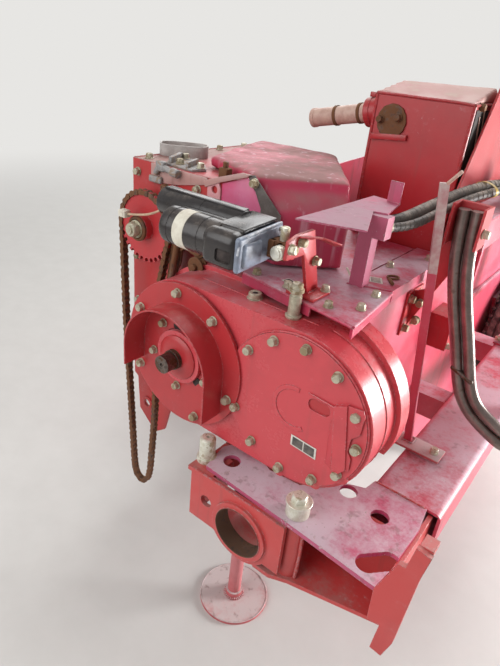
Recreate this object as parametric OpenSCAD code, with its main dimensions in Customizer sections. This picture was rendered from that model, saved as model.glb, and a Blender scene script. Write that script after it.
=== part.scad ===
// One-row trailed potato digger: drive and hitch end, lifting share, rod web, frame and wheels.
// X runs across the machine (+X is its left side), Y runs back from the tractor, Z is up.

/* [Gear case] */
// Height of the drive shaft's axis above the floor
shaft_z = 754; // [740:1:800]
// Distance across between the axes of the case's two lobes
lobe_gap = 329; // [300:1:345]
// Radius of each lobe of the case
case_r = 190; // [180:1:200]
// Depth of the case from its front face
case_d = 105; // [80:1:125]
// Radius of the round cover on the case
cover_r = 181; // [165:1:181]
// Thickness of the round cover
cover_t = 8; // [4:1:10]
// Radius of the drive shaft
drive_shaft_r = 22.5; // [17:0.5:27.5]
// Reach of the drive shaft in front of the case
drive_shaft_reach = 80; // [60:1:100]

/* [Drive guard] */
// Outer half-width of the guard's arch
guard_r = 137; // [110:1:140]
// Thickness of the guard's sheet
guard_t = 4; // [2:0.5:6]
// Depth of the guard from front to back
guard_d = 66; // [50:1:90]
// Outer radius of the guard's fixing ring
guard_ring_r = 188; // [170:1:195]

/* [Chain drive] */
// Pitch of the roller chain
chain_pitch = 19.05; // [15.875,19.05,25.4]
// Teeth of the chain sprocket
sprocket_teeth = 30; // [26:1:32]
// Height of the sprocket's axis above the floor
sprocket_z = 996; // [980:1:1010]
// Distance of the sprocket's axis from the machine's middle
sprocket_x = 256; // [245:1:265]
// Height of the lowest point of the slack chain above the floor
chain_low_z = 80; // [60:1:120]

/* [Hitch] */
// Height of the hitch plate's upper face
plate_z = 520; // [515:1:525]
// Thickness of the hitch plate
plate_t = 12; // [8:1:20]
// Height of the hitch box under the plate
box_h = 153; // [140:1:170]
// Radius of the drawbar bore through the hitch box
bore_r = 66; // [55:1:70]
// Radius of the pin holes in the hitch plate
pin_hole_r = 22; // [16:0.5:25]

/* [Stand] */
// Radius of the stand's foot plate
foot_r = 100; // [80:1:120]
// Radius of the stand's outer tube
stand_r = 19; // [17:0.5:25]
// Travel of the stand's tube up its post
stand_travel = 160; // [120:1:170]

/* [Frame] */
// Width of the main beam
beam_w = 173; // [150:1:180]
// Height of the main beam
beam_h = 120; // [100:1:140]
// Wall of the main beam
beam_wall = 8; // [5:1:12]
// Thickness of the sheet walls
sheet_t = 6; // [4:0.5:8]
// Half of the distance between the channel walls, outside
wall_x = 365; // [355:1:375]

/* [Share and web] */
// Distance of the share's tip behind the case's front face
share_y = 1020; // [1000:1:1060]
// Thickness of the share's blade
share_t = 12; // [8:1:16]
// Radius of a web rod
rod_r = 5.5; // [5:0.5:8]
// Number of rods round the web
rod_count = 62; // [50:1:70]
// Angle of the web to the floor
web_angle = 26; // [22:1:28]

/* [Wheels] */
// Outer radius of the tyres
tyre_r = 340; // [320:1:345]
// Width of the tyres
tyre_w = 155; // [140:1:165]
// Distance of the axle behind the case's front face
axle_y = 1770; // [1740:1:1800]
// Radius of the stub axles
stub_r = 25; // [20:1:30]

/* [Hidden] */

// Smoothness of the round parts
$fn = 48;

// The front and rear ends of the machine, and the middle that the origin lies under
front_y = -100;
board_len = 190.435;
hinge_off = 20;
web_len = 1190;
rear_y = share_y + 250 + web_len * cos(web_angle) + 150 + hinge_off + board_len;
mid_y = (front_y + rear_y) / 2;

// Clearances: between parts that run in each other, and between bodies that pass each other
run_gap = 0.05;
pass_gap = 8;

// Places that several parts share
case_top_z = shaft_z + case_r;
box_top_z = plate_z - plate_t;
box_low_z = box_top_z - box_h;
beam_x = 486;
beam_low_z = plate_z - beam_h;
// Middle line of the pipes beside the main beam, and the middle of the whole width
block_x = beam_x + beam_w + 67;
block_rim = 20;
mid_x = (block_x + block_rim - beam_x - beam_w) / 2;
wall_in_x = wall_x - sheet_t;
front_wall_y = case_d + 45;
housing_back_y = 640;
table_z = 980;
table_t = 8;
table_low_z = table_z - table_t;

// The web's two rollers: the nose behind the share and the head at the rear
web_r = 55;
nose_y = share_y + 250;
nose_z = web_r + rod_r + 60;
head_y = nose_y + web_len * cos(web_angle);
head_z = nose_z + web_len * sin(web_angle);

// Moves the model from the case's front face to the origin under the machine's middle
module place() {
  translate([-mid_x, -mid_y, 0]) children();
}

// A plate of an outline in X and Z, from y0 back by depth
module plate_y(y0, depth) {
  translate([0, y0 + depth, 0]) rotate([90, 0, 0]) linear_extrude(depth) children();
}

// A plate of an outline in Y and Z, from x0 by width towards +X
module plate_x(x0, width) {
  translate([x0, 0, 0]) rotate([90, 0, 90]) linear_extrude(width) children();
}

// A plate of an outline in X and Y, from z0 up by height
module plate_z(z0, height) {
  translate([0, 0, z0]) linear_extrude(height) children();
}

// Round bars along each axis, from one end
module bar_x(x0, y, z, length, r) {
  translate([x0, y, z]) rotate([0, 90, 0]) cylinder(h = length, r = r);
}
module bar_y(x, y0, z, length, r) {
  translate([x, y0, z]) rotate([-90, 0, 0]) cylinder(h = length, r = r);
}
module bar_z(x, y, z0, length, r) {
  translate([x, y, z0]) cylinder(h = length, r = r);
}

// A rectangle with round corners
module round_rect(w, h, r) {
  translate([r, 0]) square([w - 2 * r, h]);
  translate([0, r]) square([w, h - 2 * r]);
  for (x = [r, w - r], y = [r, h - r]) translate([x, y]) circle(r);
}

// A box tube along Y, open at its ends
module box_tube_y(x0, z0, w, h, y0, length, wall, r) {
  plate_y(y0, length) translate([x0, z0]) difference() {
    round_rect(w, h, r);
    translate([wall, wall]) square([w - 2 * wall, h - 2 * wall]);
  }
}

// A square tube along X, open at its ends
module square_tube_x(x0, x1, y, z, size, wall) {
  plate_x(x0, x1 - x0) translate([y, z]) difference() {
    square(size);
    translate([wall, wall]) square(size - 2 * wall);
  }
}

// Frame

beam_start_y = 190;
beam_end_y = axle_y - tyre_r - 100;
beam_round_r = 18;
rail_start_y = 680;

module main_beam() {
  color("firebrick") place()
    box_tube_y(beam_x, beam_low_z, beam_w, beam_h, beam_start_y, beam_end_y - beam_start_y,
      beam_wall, beam_round_r);
}

module side_rail() {
  color("firebrick") place()
    box_tube_y(-beam_x - beam_w, beam_low_z, beam_w, beam_h, rail_start_y,
      beam_end_y - rail_start_y, beam_wall, beam_round_r);
}

cross_size = 80;
cross_wall = 6;
cross_z = beam_low_z + 20;
// Places of the arms that join the walls to the beams, by their y
arm_ys = [700, beam_end_y - 90];
portal_z = 1100;
front_cross_y = 700;

module cross_members() {
  color("firebrick") place() {
    for (y = arm_ys) {
      square_tube_x(wall_x, beam_x, y, cross_z, cross_size, cross_wall);
      square_tube_x(-beam_x, -wall_x, y, cross_z, cross_size, cross_wall);
    }
    square_tube_x(-wall_in_x, wall_in_x, front_cross_y, cross_z, cross_size, cross_wall);
    square_tube_x(-wall_in_x, wall_in_x, wall_end_y - cross_size - 10, portal_z - cross_size,
      cross_size, cross_wall);
  }
}

// Hitch

// Outline of the hitch plate: its tip on the right, the bay round the gear case, the beam's corner
plate_outline = [
  [146, -62], [435, -76], [611, -88], [628, -88], [632, 120], [622, beam_start_y],
  [beam_x, beam_start_y], [beam_x - 6, 150], [433, 129], [355, 45], [271, 36], [215, 60],
  [161, 90], [130, 20]
];
// Pin holes through the hitch plate: x, y
plate_holes = [[182, -5], [548, 89], [454, 110]];
slot_from = [584, -48];
slot_to = [618, -10];

module hitch_plate() {
  color("palevioletred") place() difference() {
    plate_z(box_top_z, plate_t) polygon(plate_outline);
    for (hole = plate_holes) bar_z(hole.x, hole.y, box_top_z - 1, plate_t + 2, pin_hole_r);
    bar_z(sleeve_x, sleeve_y, box_top_z - 1, plate_t + 2, pin_r + run_gap);
    for (t = [0 : 0.25 : 1])
      bar_z(slot_from.x + t * (slot_to.x - slot_from.x), slot_from.y + t * (slot_to.y - slot_from.y),
        box_top_z - 1, plate_t + 2, pin_hole_r + 2);
  }
}

box_front_y = -82;
box_wall = 12;
box_left_x = 116;
box_right_x = 400;
box_back_y = 90;
bore_x = 279;
bore_z = box_low_z + 54;
bore_wall = 14;
side_hole_x = 169;
side_hole_z = bore_z + 20;
side_hole_r = 17;
sleeve_x = 400;
sleeve_y = -34;
bore_back_y = 0;
sleeve_r = 28;
channel_end_x = 640;
channel_low_z = box_low_z - 30;

end_plate_t = 12;
// Outline of the end plate: hooks at its top and foot
end_plate_outline = [
  [624, 527], [654, 624], [668, 626], [675, 684], [705, 678], [697, 611], [689, 419],
  [676, 365], [650, 368], [655, 446], [628, 440]
];

module hitch_box() {
  color("firebrick") place() plate_y(front_y, end_plate_t) polygon(end_plate_outline);
  // Short lips that the hooks turn forward
  color("firebrick") place() plate_z(672, 12) translate([677, front_y + end_plate_t]) square([26, 34]);
  color("firebrick") place() plate_z(365, 12) translate([652, front_y + end_plate_t]) square([24, 30]);
  color("firebrick") place() difference() {
    union() {
      // Front plate with the collar round the drawbar bore
      plate_y(box_front_y, box_wall) {
        translate([box_left_x, box_low_z]) square([box_right_x - box_left_x, box_h]);
        translate([bore_x, bore_z]) circle(bore_r + 2 * bore_wall);
      }
      // Tube round the bore
      bar_y(bore_x, box_front_y - 8, bore_z, bore_back_y - box_front_y + 8, bore_r + bore_wall);
      // Left side and back of the box
      plate_x(box_left_x, box_wall) translate([box_front_y, box_low_z])
        square([box_back_y - box_front_y, box_h]);
      plate_y(box_back_y - box_wall, box_wall) translate([box_left_x, box_low_z])
        square([channel_end_x - box_left_x, box_h]);
      // Top strip that carries the plain pin
      plate_z(box_top_z - box_wall, box_wall) translate([box_left_x - 12, box_front_y]) square([72, 90]);
      // Upright sleeve, and the channel's floor behind it
      bar_z(sleeve_x, sleeve_y, channel_low_z, box_top_z - channel_low_z, sleeve_r);
      plate_z(channel_low_z, box_wall) polygon([
        [330, box_back_y], [330, box_front_y], [sleeve_x - 24, box_front_y], [sleeve_x + 20, -64],
        [channel_end_x, -10], [channel_end_x, box_back_y]
      ]);
      plate_y(box_back_y - box_wall, box_wall) translate([330, channel_low_z])
        square([channel_end_x - 330, 40]);
      // Rib that carries the beam end
      plate_x(beam_x, box_wall) polygon([
        [box_back_y, channel_low_z], [beam_start_y, beam_low_z], [beam_start_y, box_top_z],
        [box_back_y, box_top_z]
      ]);
      plate_x(channel_end_x - box_wall, box_wall) polygon([
        [front_y + end_plate_t, box_top_z], [front_y + end_plate_t, 440], [-10, channel_low_z],
        [box_back_y, channel_low_z],
        [beam_start_y, beam_low_z], [beam_start_y, box_top_z]
      ]);
    }
    bar_y(bore_x, box_front_y - 20, bore_z, box_back_y - box_front_y + 40, bore_r);
    bar_y(side_hole_x, box_front_y - 20, side_hole_z, 60, side_hole_r);
    bar_z(sleeve_x, sleeve_y, channel_low_z - 1, box_h + 40, pin_r + run_gap);
  }
}

pin_r = 15;
washer_r = 28.5;
plain_pin_r = 16;
plain_pin_h = 67;
plain_pin = [121, -32];
module hitch_pins() {
  color("silver") place() {
    // Bolt with its bush and washer over the sleeve
    bar_z(sleeve_x, sleeve_y, channel_low_z - 12, plate_z - channel_low_z + 12, pin_r);
    bar_z(sleeve_x, sleeve_y, plate_z, 34, 24);
    bar_z(sleeve_x, sleeve_y, plate_z + 34, 5, washer_r);
    translate([sleeve_x, sleeve_y, plate_z + 39]) cylinder(h = 13, r = 17, $fn = 6);
    // Plain pin with a centre hole, on the strip beside the plate
    difference() {
      bar_z(plain_pin.x, plain_pin.y, box_top_z, plain_pin_h, plain_pin_r);
      bar_z(plain_pin.x, plain_pin.y, box_top_z + plain_pin_h - 12, 13, 4);
    }
  }
}

post_x = 211;
post_y = 30;
foot_t = 8;
post_r = stand_r - 3.5;
stand_top_z = box_low_z - 25;
post_low_z = foot_t + 10 + stand_travel + 6;
module stand_post() {
  color("gray") place() {
    bar_z(post_x, post_y, post_low_z, box_top_z - post_low_z, post_r);
  }
}

module stand_leg() {
  color("rosybrown") place() {
    bar_z(post_x, post_y, 0, foot_t, foot_r);
    difference() {
      union() {
        bar_z(post_x, post_y, foot_t, stand_top_z - foot_t, stand_r);
        bar_z(post_x, post_y, foot_t, 20, stand_r + 6);
      }
      bar_z(post_x, post_y, foot_t + 10, stand_top_z, post_r + run_gap);
    }
  }
}

// Gear case

module lobes(r) {
  circle(r);
  translate([lobe_gap, 0]) circle(r);
  translate([0, -r]) square([lobe_gap, 2 * r]);
}

rear_band_r = case_r + 12;
boss_r = 70;
boss_y = -cover_t - 18;
journal_r = drive_shaft_r - 3;
module gear_case() {
  color("crimson") place() difference() {
    union() {
      translate([0, 0, shaft_z]) {
        plate_y(0, case_d) lobes(case_r);
        plate_y(-cover_t, cover_t) difference() {
          circle(case_r - 8);
          translate([lobe_gap, 0]) circle(cover_r + 1);
        }
        // Deeper part of the case behind the left lobe
        plate_y(case_d, front_wall_y - case_d) intersection() {
          lobes(rear_band_r);
          translate([-case_r, -80]) square([lobe_gap + 2 * case_r + 20, 3 * case_r]);
        }
      }
      // Bearing boss round the shaft
      bar_y(0, boss_y, shaft_z, 20, boss_r);
    }
    bar_y(0, boss_y - 1, shaft_z, 120, journal_r + run_gap);
  }
}

slot_x = 64;
slot_z = 43;
slot_w = 54;
slot_h = 30;
module gear_cover() {
  color("crimson") place() {
    difference() {
      bar_y(lobe_gap, -cover_t, shaft_z, cover_t, cover_r);
      // Oblong inspection slot
      plate_y(-cover_t - 1, 5) translate([lobe_gap + slot_x - slot_w / 2, shaft_z + slot_z - slot_h / 2])
        round_rect(slot_w, slot_h, slot_h / 2 - 0.1);
    }
    // Folded rib down the right of the cover
    plate_y(-cover_t - 10, 10) polygon([
      [lobe_gap + 100, shaft_z + 70], [lobe_gap + 128, shaft_z + 84],
      [lobe_gap + 152, shaft_z - 66], [lobe_gap + 125, shaft_z - 104]
    ]);
    // Raised open ring, cast on the cover
    translate([lobe_gap + 4, -cover_t, shaft_z + 11]) rotate([90, 0, 0])
      rotate([0, 0, 80]) rotate_extrude(angle = 225) translate([45, 0]) square([10, 2]);
  }
}

ring_t = 6;
guard_ring_y = -cover_t - ring_t;
module drive_guard() {
  color("firebrick") place() difference() {
    union() {
      translate([0, 0, shaft_z]) {
        plate_y(guard_ring_y, ring_t) circle(guard_ring_r);
        plate_y(guard_ring_y - guard_d, guard_d) {
          difference() {
            circle(guard_r);
            translate([-guard_r, -2 * guard_r]) square([2 * guard_r, 2 * guard_r]);
          }
          translate([-guard_r, -58]) square([guard_t, 58]);
          translate([guard_r - guard_t, -104]) square([guard_t, 104]);
        }
      }
    }
    translate([0, 0, shaft_z]) plate_y(guard_ring_y - guard_d - 1, guard_d + 1)
      difference() {
        circle(guard_r - guard_t);
        translate([-guard_r, -2 * guard_r]) square([2 * guard_r, 2 * guard_r]);
      }
    bar_y(0, guard_ring_y - 1, shaft_z, ring_t + 2, boss_r + 1);
  }
}

filler_x = 269;
filler_y = 43;
plug_x = 154;
plug_y = 58;
module case_fittings() {
  color("silver") place() {
    bar_z(filler_x, filler_y, case_top_z, 79, 13);
    bar_z(filler_x, filler_y, case_top_z, 6, 18);
    bar_z(filler_x, filler_y, case_top_z + 60, 6, 16);
    bar_z(plug_x, plug_y, case_top_z, 14, 15);
  }
}

module drive_shaft() {
  color("dimgray") place() difference() {
    union() {
      bar_y(0, -drive_shaft_reach, shaft_z, drive_shaft_reach + boss_y - 0.5, drive_shaft_r);
      bar_y(0, boss_y - 1, shaft_z, 90, journal_r);
    }
    bar_y(0, -drive_shaft_reach - 1, shaft_z, 4, 5);
  }
}

// Front wall and chain drive

box_roof_z = 1153;
box_side_x = -60;
hood_top_z = 1187;
hood_edge_x = 48;
module front_wall() {
  color("indianred") place() difference() {
    plate_y(front_wall_y, sheet_t) polygon([
      [-361, box_roof_z], [-361, 470], [-345, 460], [-336, 339], [-262, 275], [-217, 311],
      [-174, 480], [-174, 560], [wall_in_x, 560], [wall_in_x, table_low_z],
      [hood_edge_x, table_low_z], [hood_edge_x, hood_top_z - 9], [box_side_x, box_roof_z]
    ]);
    bar_y(-298, front_wall_y - 1, 377, sheet_t + 2, 14);
    // Slot that the edge of the table lies in
    translate([-32, front_wall_y - 1, table_low_z]) cube([hood_edge_x + 40, sheet_t + 2, table_t]);
    bar_y(-sprocket_x, front_wall_y - 1, sprocket_z, sheet_t + 2, 19);
  }
  // Stud that the actuator's eye sits on
  color("indianred") place() actuator_frame()
    bar_y(eye_x, eye_y + eye_w, spindle_up, 28, 6);
}

sprocket_r = chain_pitch / (2 * sin(180 / sprocket_teeth));
chain_y = 100;
chain_w = 20;
roller_r = 5.9;
sprocket_t = 10;
// Width inside the chain's link plates
link_gap = sprocket_t + 1;

module chain_sprocket() {
  color("indianred") place() difference() {
    union() {
      translate([-sprocket_x, 0, sprocket_z]) plate_y(chain_y - sprocket_t / 2, sprocket_t)
        difference() {
          circle(sprocket_r + 5);
          for (i = [0 : sprocket_teeth - 1]) rotate(i * 360 / sprocket_teeth)
            translate([sprocket_r, 0]) circle(roller_r + 0.5, $fn = 14);
        }
      bar_y(-sprocket_x, chain_y - 26, sprocket_z, 30, 34);
      bar_y(-sprocket_x, chain_y - 32, sprocket_z, front_wall_y + 40 - chain_y, 19);
    }
  }
}

// The slack chain's path: over the sprocket, then two hanging strands and a narrow bend
chain_h = 14;
chain_bend_r = 36;
tooth_angle = 360 / sprocket_teeth;
arc_links = round(192 / tooth_angle);
arc_start = 180 - arc_links * tooth_angle;
left_top = [-sprocket_x - sprocket_r, sprocket_z];
right_top = [-sprocket_x + sprocket_r * cos(arc_start), sprocket_z + sprocket_r * sin(arc_start)];
bend_x = -sprocket_x - 14;
bend_z = chain_low_z + chain_bend_r;
function arc_points(cx, cz, r, a0, a1, n) =
  [for (i = [0 : n]) [cx + r * cos(a0 + (a1 - a0) * i / n), cz + r * sin(a0 + (a1 - a0) * i / n)]];
function strand(p, q, n) =
  [for (i = [1 : n]) [p.x + (q.x - p.x) * i / n, p.y + (q.y - p.y) * i / n]];
bend_links = 6;
// Where the strands bow: the right one hangs against the gear case's left lobe
case_side_x = -case_r - chain_h;
left_mid = [-sprocket_x - sprocket_r + 8, shaft_z - 60];
right_mid = [case_side_x, shaft_z + 70];
right_low = [case_side_x - 6, shaft_z - 340];
chain_points = concat(
  arc_points(-sprocket_x, sprocket_z, sprocket_r, arc_start, 180, arc_links),
  strand(left_top, left_mid, 16),
  strand(left_mid, [bend_x - chain_bend_r, bend_z], 30),
  arc_points(bend_x, bend_z, chain_bend_r, 190, 350, bend_links),
  strand([bend_x + chain_bend_r, bend_z], right_low, 15),
  strand(right_low, right_mid, 22),
  strand(right_mid, right_top, 8)
);
// The last point is the first one again
chain_n = len(chain_points) - 1;
// Links past the arc on each side that still reach between the sprocket's teeth
open_links = 3;
plate_w = 4.2;

// Puts an outline at a link's start, along the link
function link_end(i) = chain_points[(i + 1) % chain_n];
function link_len(i) = norm(link_end(i) - chain_points[i]);
function link_angle(i) =
  let (d = link_end(i) - chain_points[i]) atan2(d.y, d.x);
module at_link(i) {
  translate(chain_points[i]) rotate(link_angle(i)) children();
}

// A link's side: every other one is a little lower
module link_side(i, reach) {
  h = i % 2 == 0 ? chain_h : chain_h - 1;
  translate([-reach, -h / 2]) square([link_len(i) + 2 * reach, h]);
}

module drive_chain() {
  color("sienna") place() {
    // Links that hang free
    for (i = [arc_links + open_links : chain_n - open_links - 1]) {
      w = i % 2 == 0 ? chain_w : chain_w - 4;
      plate_y(chain_y - w / 2, w) at_link(i) link_side(i, 2);
    }
    // Plates on both sides of the teeth, and the rollers that sit between the teeth
    for (side = [-1, 1]) plate_y(chain_y + side * (link_gap + plate_w) / 2 - plate_w / 2, plate_w)
      for (i = [0 : chain_n - 1]) if (i < arc_links + open_links || i >= chain_n - open_links)
        at_link(i) link_side(i, 4);
    plate_y(chain_y - link_gap / 2 - 1, link_gap + 2)
      for (i = [0 : arc_links]) translate(chain_points[i]) circle(roller_r, $fn = 8);
  }
}

module chain_tensioner() {
  color("saddlebrown") place() {
    bar_y(-70, chain_y, 985, front_wall_y - chain_y, 16);
    plate_y(chain_y + 4, 10) polygon([
      [-145, 1006], [-70, 1012], [-45, 975], [-64, 962], [-120, 975], [-150, 905], [-166, 905]
    ]);
    bar_y(-130, chain_y - 4, 990, 30, 24);
  }
}

// Housing over the front of the channel

hood_x0 = -9;
module housing_box() {
  color("firebrick") place() {
    // Roof and sides of the box beside the hood
    plate_z(box_roof_z - sheet_t, sheet_t) polygon([
      [-361, front_wall_y + sheet_t], [box_side_x, front_wall_y + sheet_t],
      [box_side_x, housing_back_y], [-361, housing_back_y]
    ]);
    plate_x(-361, sheet_t) translate([front_wall_y + sheet_t, table_low_z])
      square([housing_back_y - front_wall_y - sheet_t, box_roof_z - sheet_t - table_low_z]);
    plate_x(box_side_x - sheet_t, sheet_t) translate([front_wall_y + sheet_t, table_low_z])
      square([housing_back_y - front_wall_y - sheet_t, box_roof_z - sheet_t - table_low_z]);
    // Back wall, up to the box's roof on the right
    plate_y(housing_back_y, sheet_t) polygon([
      [-wall_in_x, box_roof_z], [hood_x0, box_roof_z], [hood_x0, table_low_z],
      [wall_in_x, table_low_z], [wall_in_x, cross_z + cross_size],
      [-wall_in_x, cross_z + cross_size]
    ]);
  }
}

// The hood lies askew over the box and the table. Corners of its top, from the front one round
hood_front = [hood_edge_x + 2, front_wall_y + sheet_t + 2];
hood_back_y = housing_back_y - 8;
hood_right = [217, 315];
hood_corners = [hood_front, hood_right, [-4, hood_back_y], [-299, hood_back_y], [-171, 240]];
hood_on_table = [
  hood_front, hood_right, [-4, hood_back_y], [box_side_x + 0.3, hood_back_y], [box_side_x + 0.3, 199]
];
hood_turn = atan2(hood_right.y - hood_front.y, hood_right.x - hood_front.x);
hood_face_len = norm(hood_right - hood_front);
// How far the sloped face stands out at its foot, and the height of that bend
hood_slope = 45;
hood_bend_z = 1110;

module hood_shape(t) {
  // The part over the table, the part over the box, and the sloped face; t makes the hollow
  plate_z(table_z - t, hood_top_z - table_z) offset(delta = -t) polygon(hood_on_table);
  plate_z(box_roof_z + 0.3 - t, hood_top_z - box_roof_z - 0.3) offset(delta = -t) polygon(hood_corners);
  translate([hood_front.x, hood_front.y, 0]) rotate([0, 0, hood_turn])
    plate_x(t, hood_face_len - 2 * t) polygon([
      [t, hood_top_z - t], [t - hood_slope, hood_bend_z - t / 2], [t - hood_slope, table_z - t],
      [20 + t, table_z - t], [20 + t, hood_top_z - t]
    ]);
}

module hood() {
  color("mediumvioletred") place() difference() {
    hood_shape(0);
    hood_shape(sheet_t);
  }
}

// The two plates of the table: the front one over the gear case, the rear one stepped up
table_front_outline = [
  [90, 88], [412, 36], [388, 266], [291, 225], [291, housing_back_y - 20],
  [hood_x0 - 20, housing_back_y - 20], [hood_x0 - 20, 120], [84, 120]
];
skirt_h = 22;
table_end_y = 612;
table_rear_outline = [
  [295, 229], [388, 270], [386, table_end_y], [353, table_end_y], [353, housing_back_y - 2],
  [295, housing_back_y - 2]
];
module table() {
  color("brown") place() {
    // Front plate, its turned-down edges, and the rear plate with its own
    plate_z(table_low_z, table_t) polygon(table_front_outline);
    plate_z(table_low_z - skirt_h, skirt_h) polygon([[412, 36], [388, 266], [380, 264], [402, 46]]);
    plate_z(table_low_z - 20, 20) polygon([[90, 88], [300, 54], [300, 60], [91, 94]]);
    plate_z(table_low_z, table_t) polygon(table_rear_outline);
    plate_z(table_low_z - skirt_h, skirt_h) polygon([
      [388, 272], [386, table_end_y], [379, table_end_y], [380, 272]
    ]);
  }
}

loose_z = 1150;
loose_t = 4;
// Post under the loose plate, where the hoses start
hose_post = [296, 226];
hose_post_w = 34;
module loose_plate() {
  color("rosybrown") place() {
    plate_z(loose_z, loose_t) polygon([
      [243, 41], [377, 90], [315, 240], [345, 250], [321, 369], [246, 380], [246, 186]
    ]);
    // Lug turned up at its rear corner
    plate_y(360, loose_t) translate([290, loose_z]) square([32, 52]);
    translate([hose_post.x, hose_post.y, table_z]) cube([hose_post_w, hose_post_w, loose_z - table_z]);
    translate([hose_post.x, hose_post.y, loose_z - 50]) cube([62, hose_post_w, 50]);
  }
}

module lever_bracket() {
  color("indianred") place() {
    plate_z(table_z, 8) translate([228, 66]) square([70, 70]);
    plate_x(262, 8) polygon([
      [84, table_z + 8], [130, table_z + 8], [80, 1130], [20, 1130], [-66, 1120], [-66, 1082],
      [50, 1082]
    ]);
    // Tongue between the prongs of the actuator's clevis
    actuator_frame() translate([clevis_x + 8, clevis_y + prong_t, -16])
      cube([tongue_end_x - clevis_x - 8, clevis_gap, 32]);
  }
}

// Actuator that lies over the gear case: a thick motor and a thin spindle tube, side by side
act_angle = -15.6;
act_z = 1100;
motor_r = 38;
motor_offset = -11;
motor_span = [-70, 130];
spindle_r = 27;
spindle_offset = 58;
spindle_span = [-203, 130];
spindle_up = 6;
eye_r = 11;
eye_w = 16;
eye_x = spindle_span[0] - 24;
eye_y = spindle_offset - eye_w / 2;
clevis_x = 193;
clevis_y = 4;
clevis_len = 38;
clevis_gap = 20;
prong_t = 10;
tongue_end_x = 264;
module actuator_frame() {
  translate([0, 0, act_z]) rotate([0, 0, act_angle]) children();
}

module actuator() {
  color("darkslategray") place() actuator_frame() {
    bar_x(motor_span[0], motor_offset, 0, motor_span[1] - motor_span[0], motor_r);
    bar_x(spindle_span[0], spindle_offset, spindle_up, spindle_span[1] - spindle_span[0], spindle_r);
    // Gear housing over both, and the clevis on its nose
    translate([105, motor_offset - motor_r + 4, -motor_r]) cube([clevis_x - 105, 104, 2 * motor_r - 2]);
    for (y = [clevis_y, clevis_y + prong_t + clevis_gap])
      translate([clevis_x, y, -20]) cube([clevis_len, prong_t, 40]);
    // Rod's eye on its pin
    bar_x(spindle_span[0] - 16, spindle_offset, spindle_up, 20, 9);
    bar_y(eye_x, eye_y, spindle_up, eye_w, eye_r);
  }
}

// The short lead out of the motor's end: its points, and the tube swept along them
lead_out = [motor_span[0] * cos(act_angle) - motor_offset * sin(act_angle),
  motor_span[0] * sin(act_angle) + motor_offset * cos(act_angle), act_z - 4];
lead_points = [
  lead_out, lead_out - [12 * cos(act_angle), 12 * sin(act_angle), 0], [-112, 26, 1090],
  [-150, 45, 1072], [-200, 58, 1050], [-250, 62, 1036],
  [-280, 60, 1031]
];
lead_r = 3;
lead_sides = 8;
module actuator_lead() {
  color("tan") place() tube(lead_points, lead_r, lead_sides);
}

module lead_connector() {
  color("ivory") place() translate([-306, 49, 1020]) cube([26, 22, 20]);
}

cover_top_z = 1364;
cover_x0 = 78;
cover_x1 = 349;
cover_depth = 250;
tube_len = 240;
tube_r = 26;
tube_z = 1318;
tube_tilt = 12.3;
module at_tube(y) {
  translate([cover_x0 + 4, y, tube_z]) rotate([0, -90 - tube_tilt, 0]) children();
}
module upright_cover() {
  color("firebrick") place() {
    y0 = housing_back_y + sheet_t;
    plate_z(table_z - 60, cover_top_z - table_z + 60) difference() {
      translate([cover_x0, y0]) square([cover_x1 - cover_x0, cover_depth]);
      translate([cover_x0 + sheet_t, y0 + sheet_t])
        square([cover_x1 - cover_x0 - 2 * sheet_t, cover_depth]);
    }
    plate_z(cover_top_z, sheet_t) translate([cover_x0, y0])
      square([cover_x1 - cover_x0, cover_depth]);
    // Tube that sticks out of its side, in a clamp
    difference() {
      union() {
        at_tube(y0 + 60) cylinder(h = tube_len, r = tube_r);
        at_tube(y0 + 60) cylinder(h = 50, r = tube_r + 13);
      }
      at_tube(y0 + 60) translate([0, 0, tube_len - 120]) cylinder(h = 121, r = tube_r - 5);
      translate([cover_x0 + sheet_t, y0, tube_z - 60]) cube([60, 120, 120]);
    }
  }
}

// Flat bar that stands on the main beam
module post_bar() {
  color("palevioletred") place() {
    plate_z(plate_z, 8) translate([432, 350]) square([151, 60]);
    translate([486, 380, plate_z + 8]) rotate([0, -7, 0]) translate([-14, 0, 0]) cube([28, 12, 690]);
  }
}

module pipe_bracket() {
  color("firebrick") place() {
    // Arm up from the left wall
    plate_y(476, 8) polygon([
      [wall_x, 800], [wall_x, 915], [396, 930], [424, 1172], [502, 1172], [502, 1080], [450, 1000]
    ]);
    // Channel that the pipes pass through
    plate_z(1074, 98) polygon([
      [424, 476], [424, 420], [430, 420], [430, 470], [496, 470], [496, 420], [502, 420], [502, 476]
    ]);
    plate_x(wall_x, 6) translate([440, 795]) square([100, 125]);
    // Coupling block on the beam's outer side, where the pipes end
    plate_x(beam_x + beam_w, 8) translate([block_y - 10, beam_low_z + 30]) square([80, 220]);
    translate([beam_x + beam_w, block_y + 0.3, block_pipe_z - 46])
      cube([block_x - beam_x - beam_w + block_rim, 60, 66]);
  }
}

// The pair of pipes: the inner one's middle line, and the step out to the second one
pipe_r = 13;
pipe_step = 28;
pipe_sides = 10;
block_y = 740;
block_pipe_z = 600;
pipe_points = [
  [477, 446, 1160], [478, 446, 1120], [484, 446, 1050], [500, 448, 970], [526, 450, 890],
  [550, 450, 820], [568, 450, 760], [585, 450, 715], [608, 450, 682], [640, 450, 660],
  [676, 450, 642], [702, 456, 630], [718, 478, 620], [block_x, 520, 610], [block_x, 620, block_pipe_z],
  [block_x, block_y, block_pipe_z]
];
function tube_dir(path, i) =
  let (a = path[max(0, i - 1)], b = path[min(len(path) - 1, i + 1)]) (b - a) / norm(b - a);
tube_side = [1, 0, 1];
function tube_ring(path, i, r, sides) =
  let (d = tube_dir(path, i), s = cross(d, tube_side) / norm(cross(d, tube_side)), u = cross(s, d))
  [for (k = [0 : sides - 1]) path[i] + r * (cos(k * 360 / sides) * s + sin(k * 360 / sides) * u)];

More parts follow.
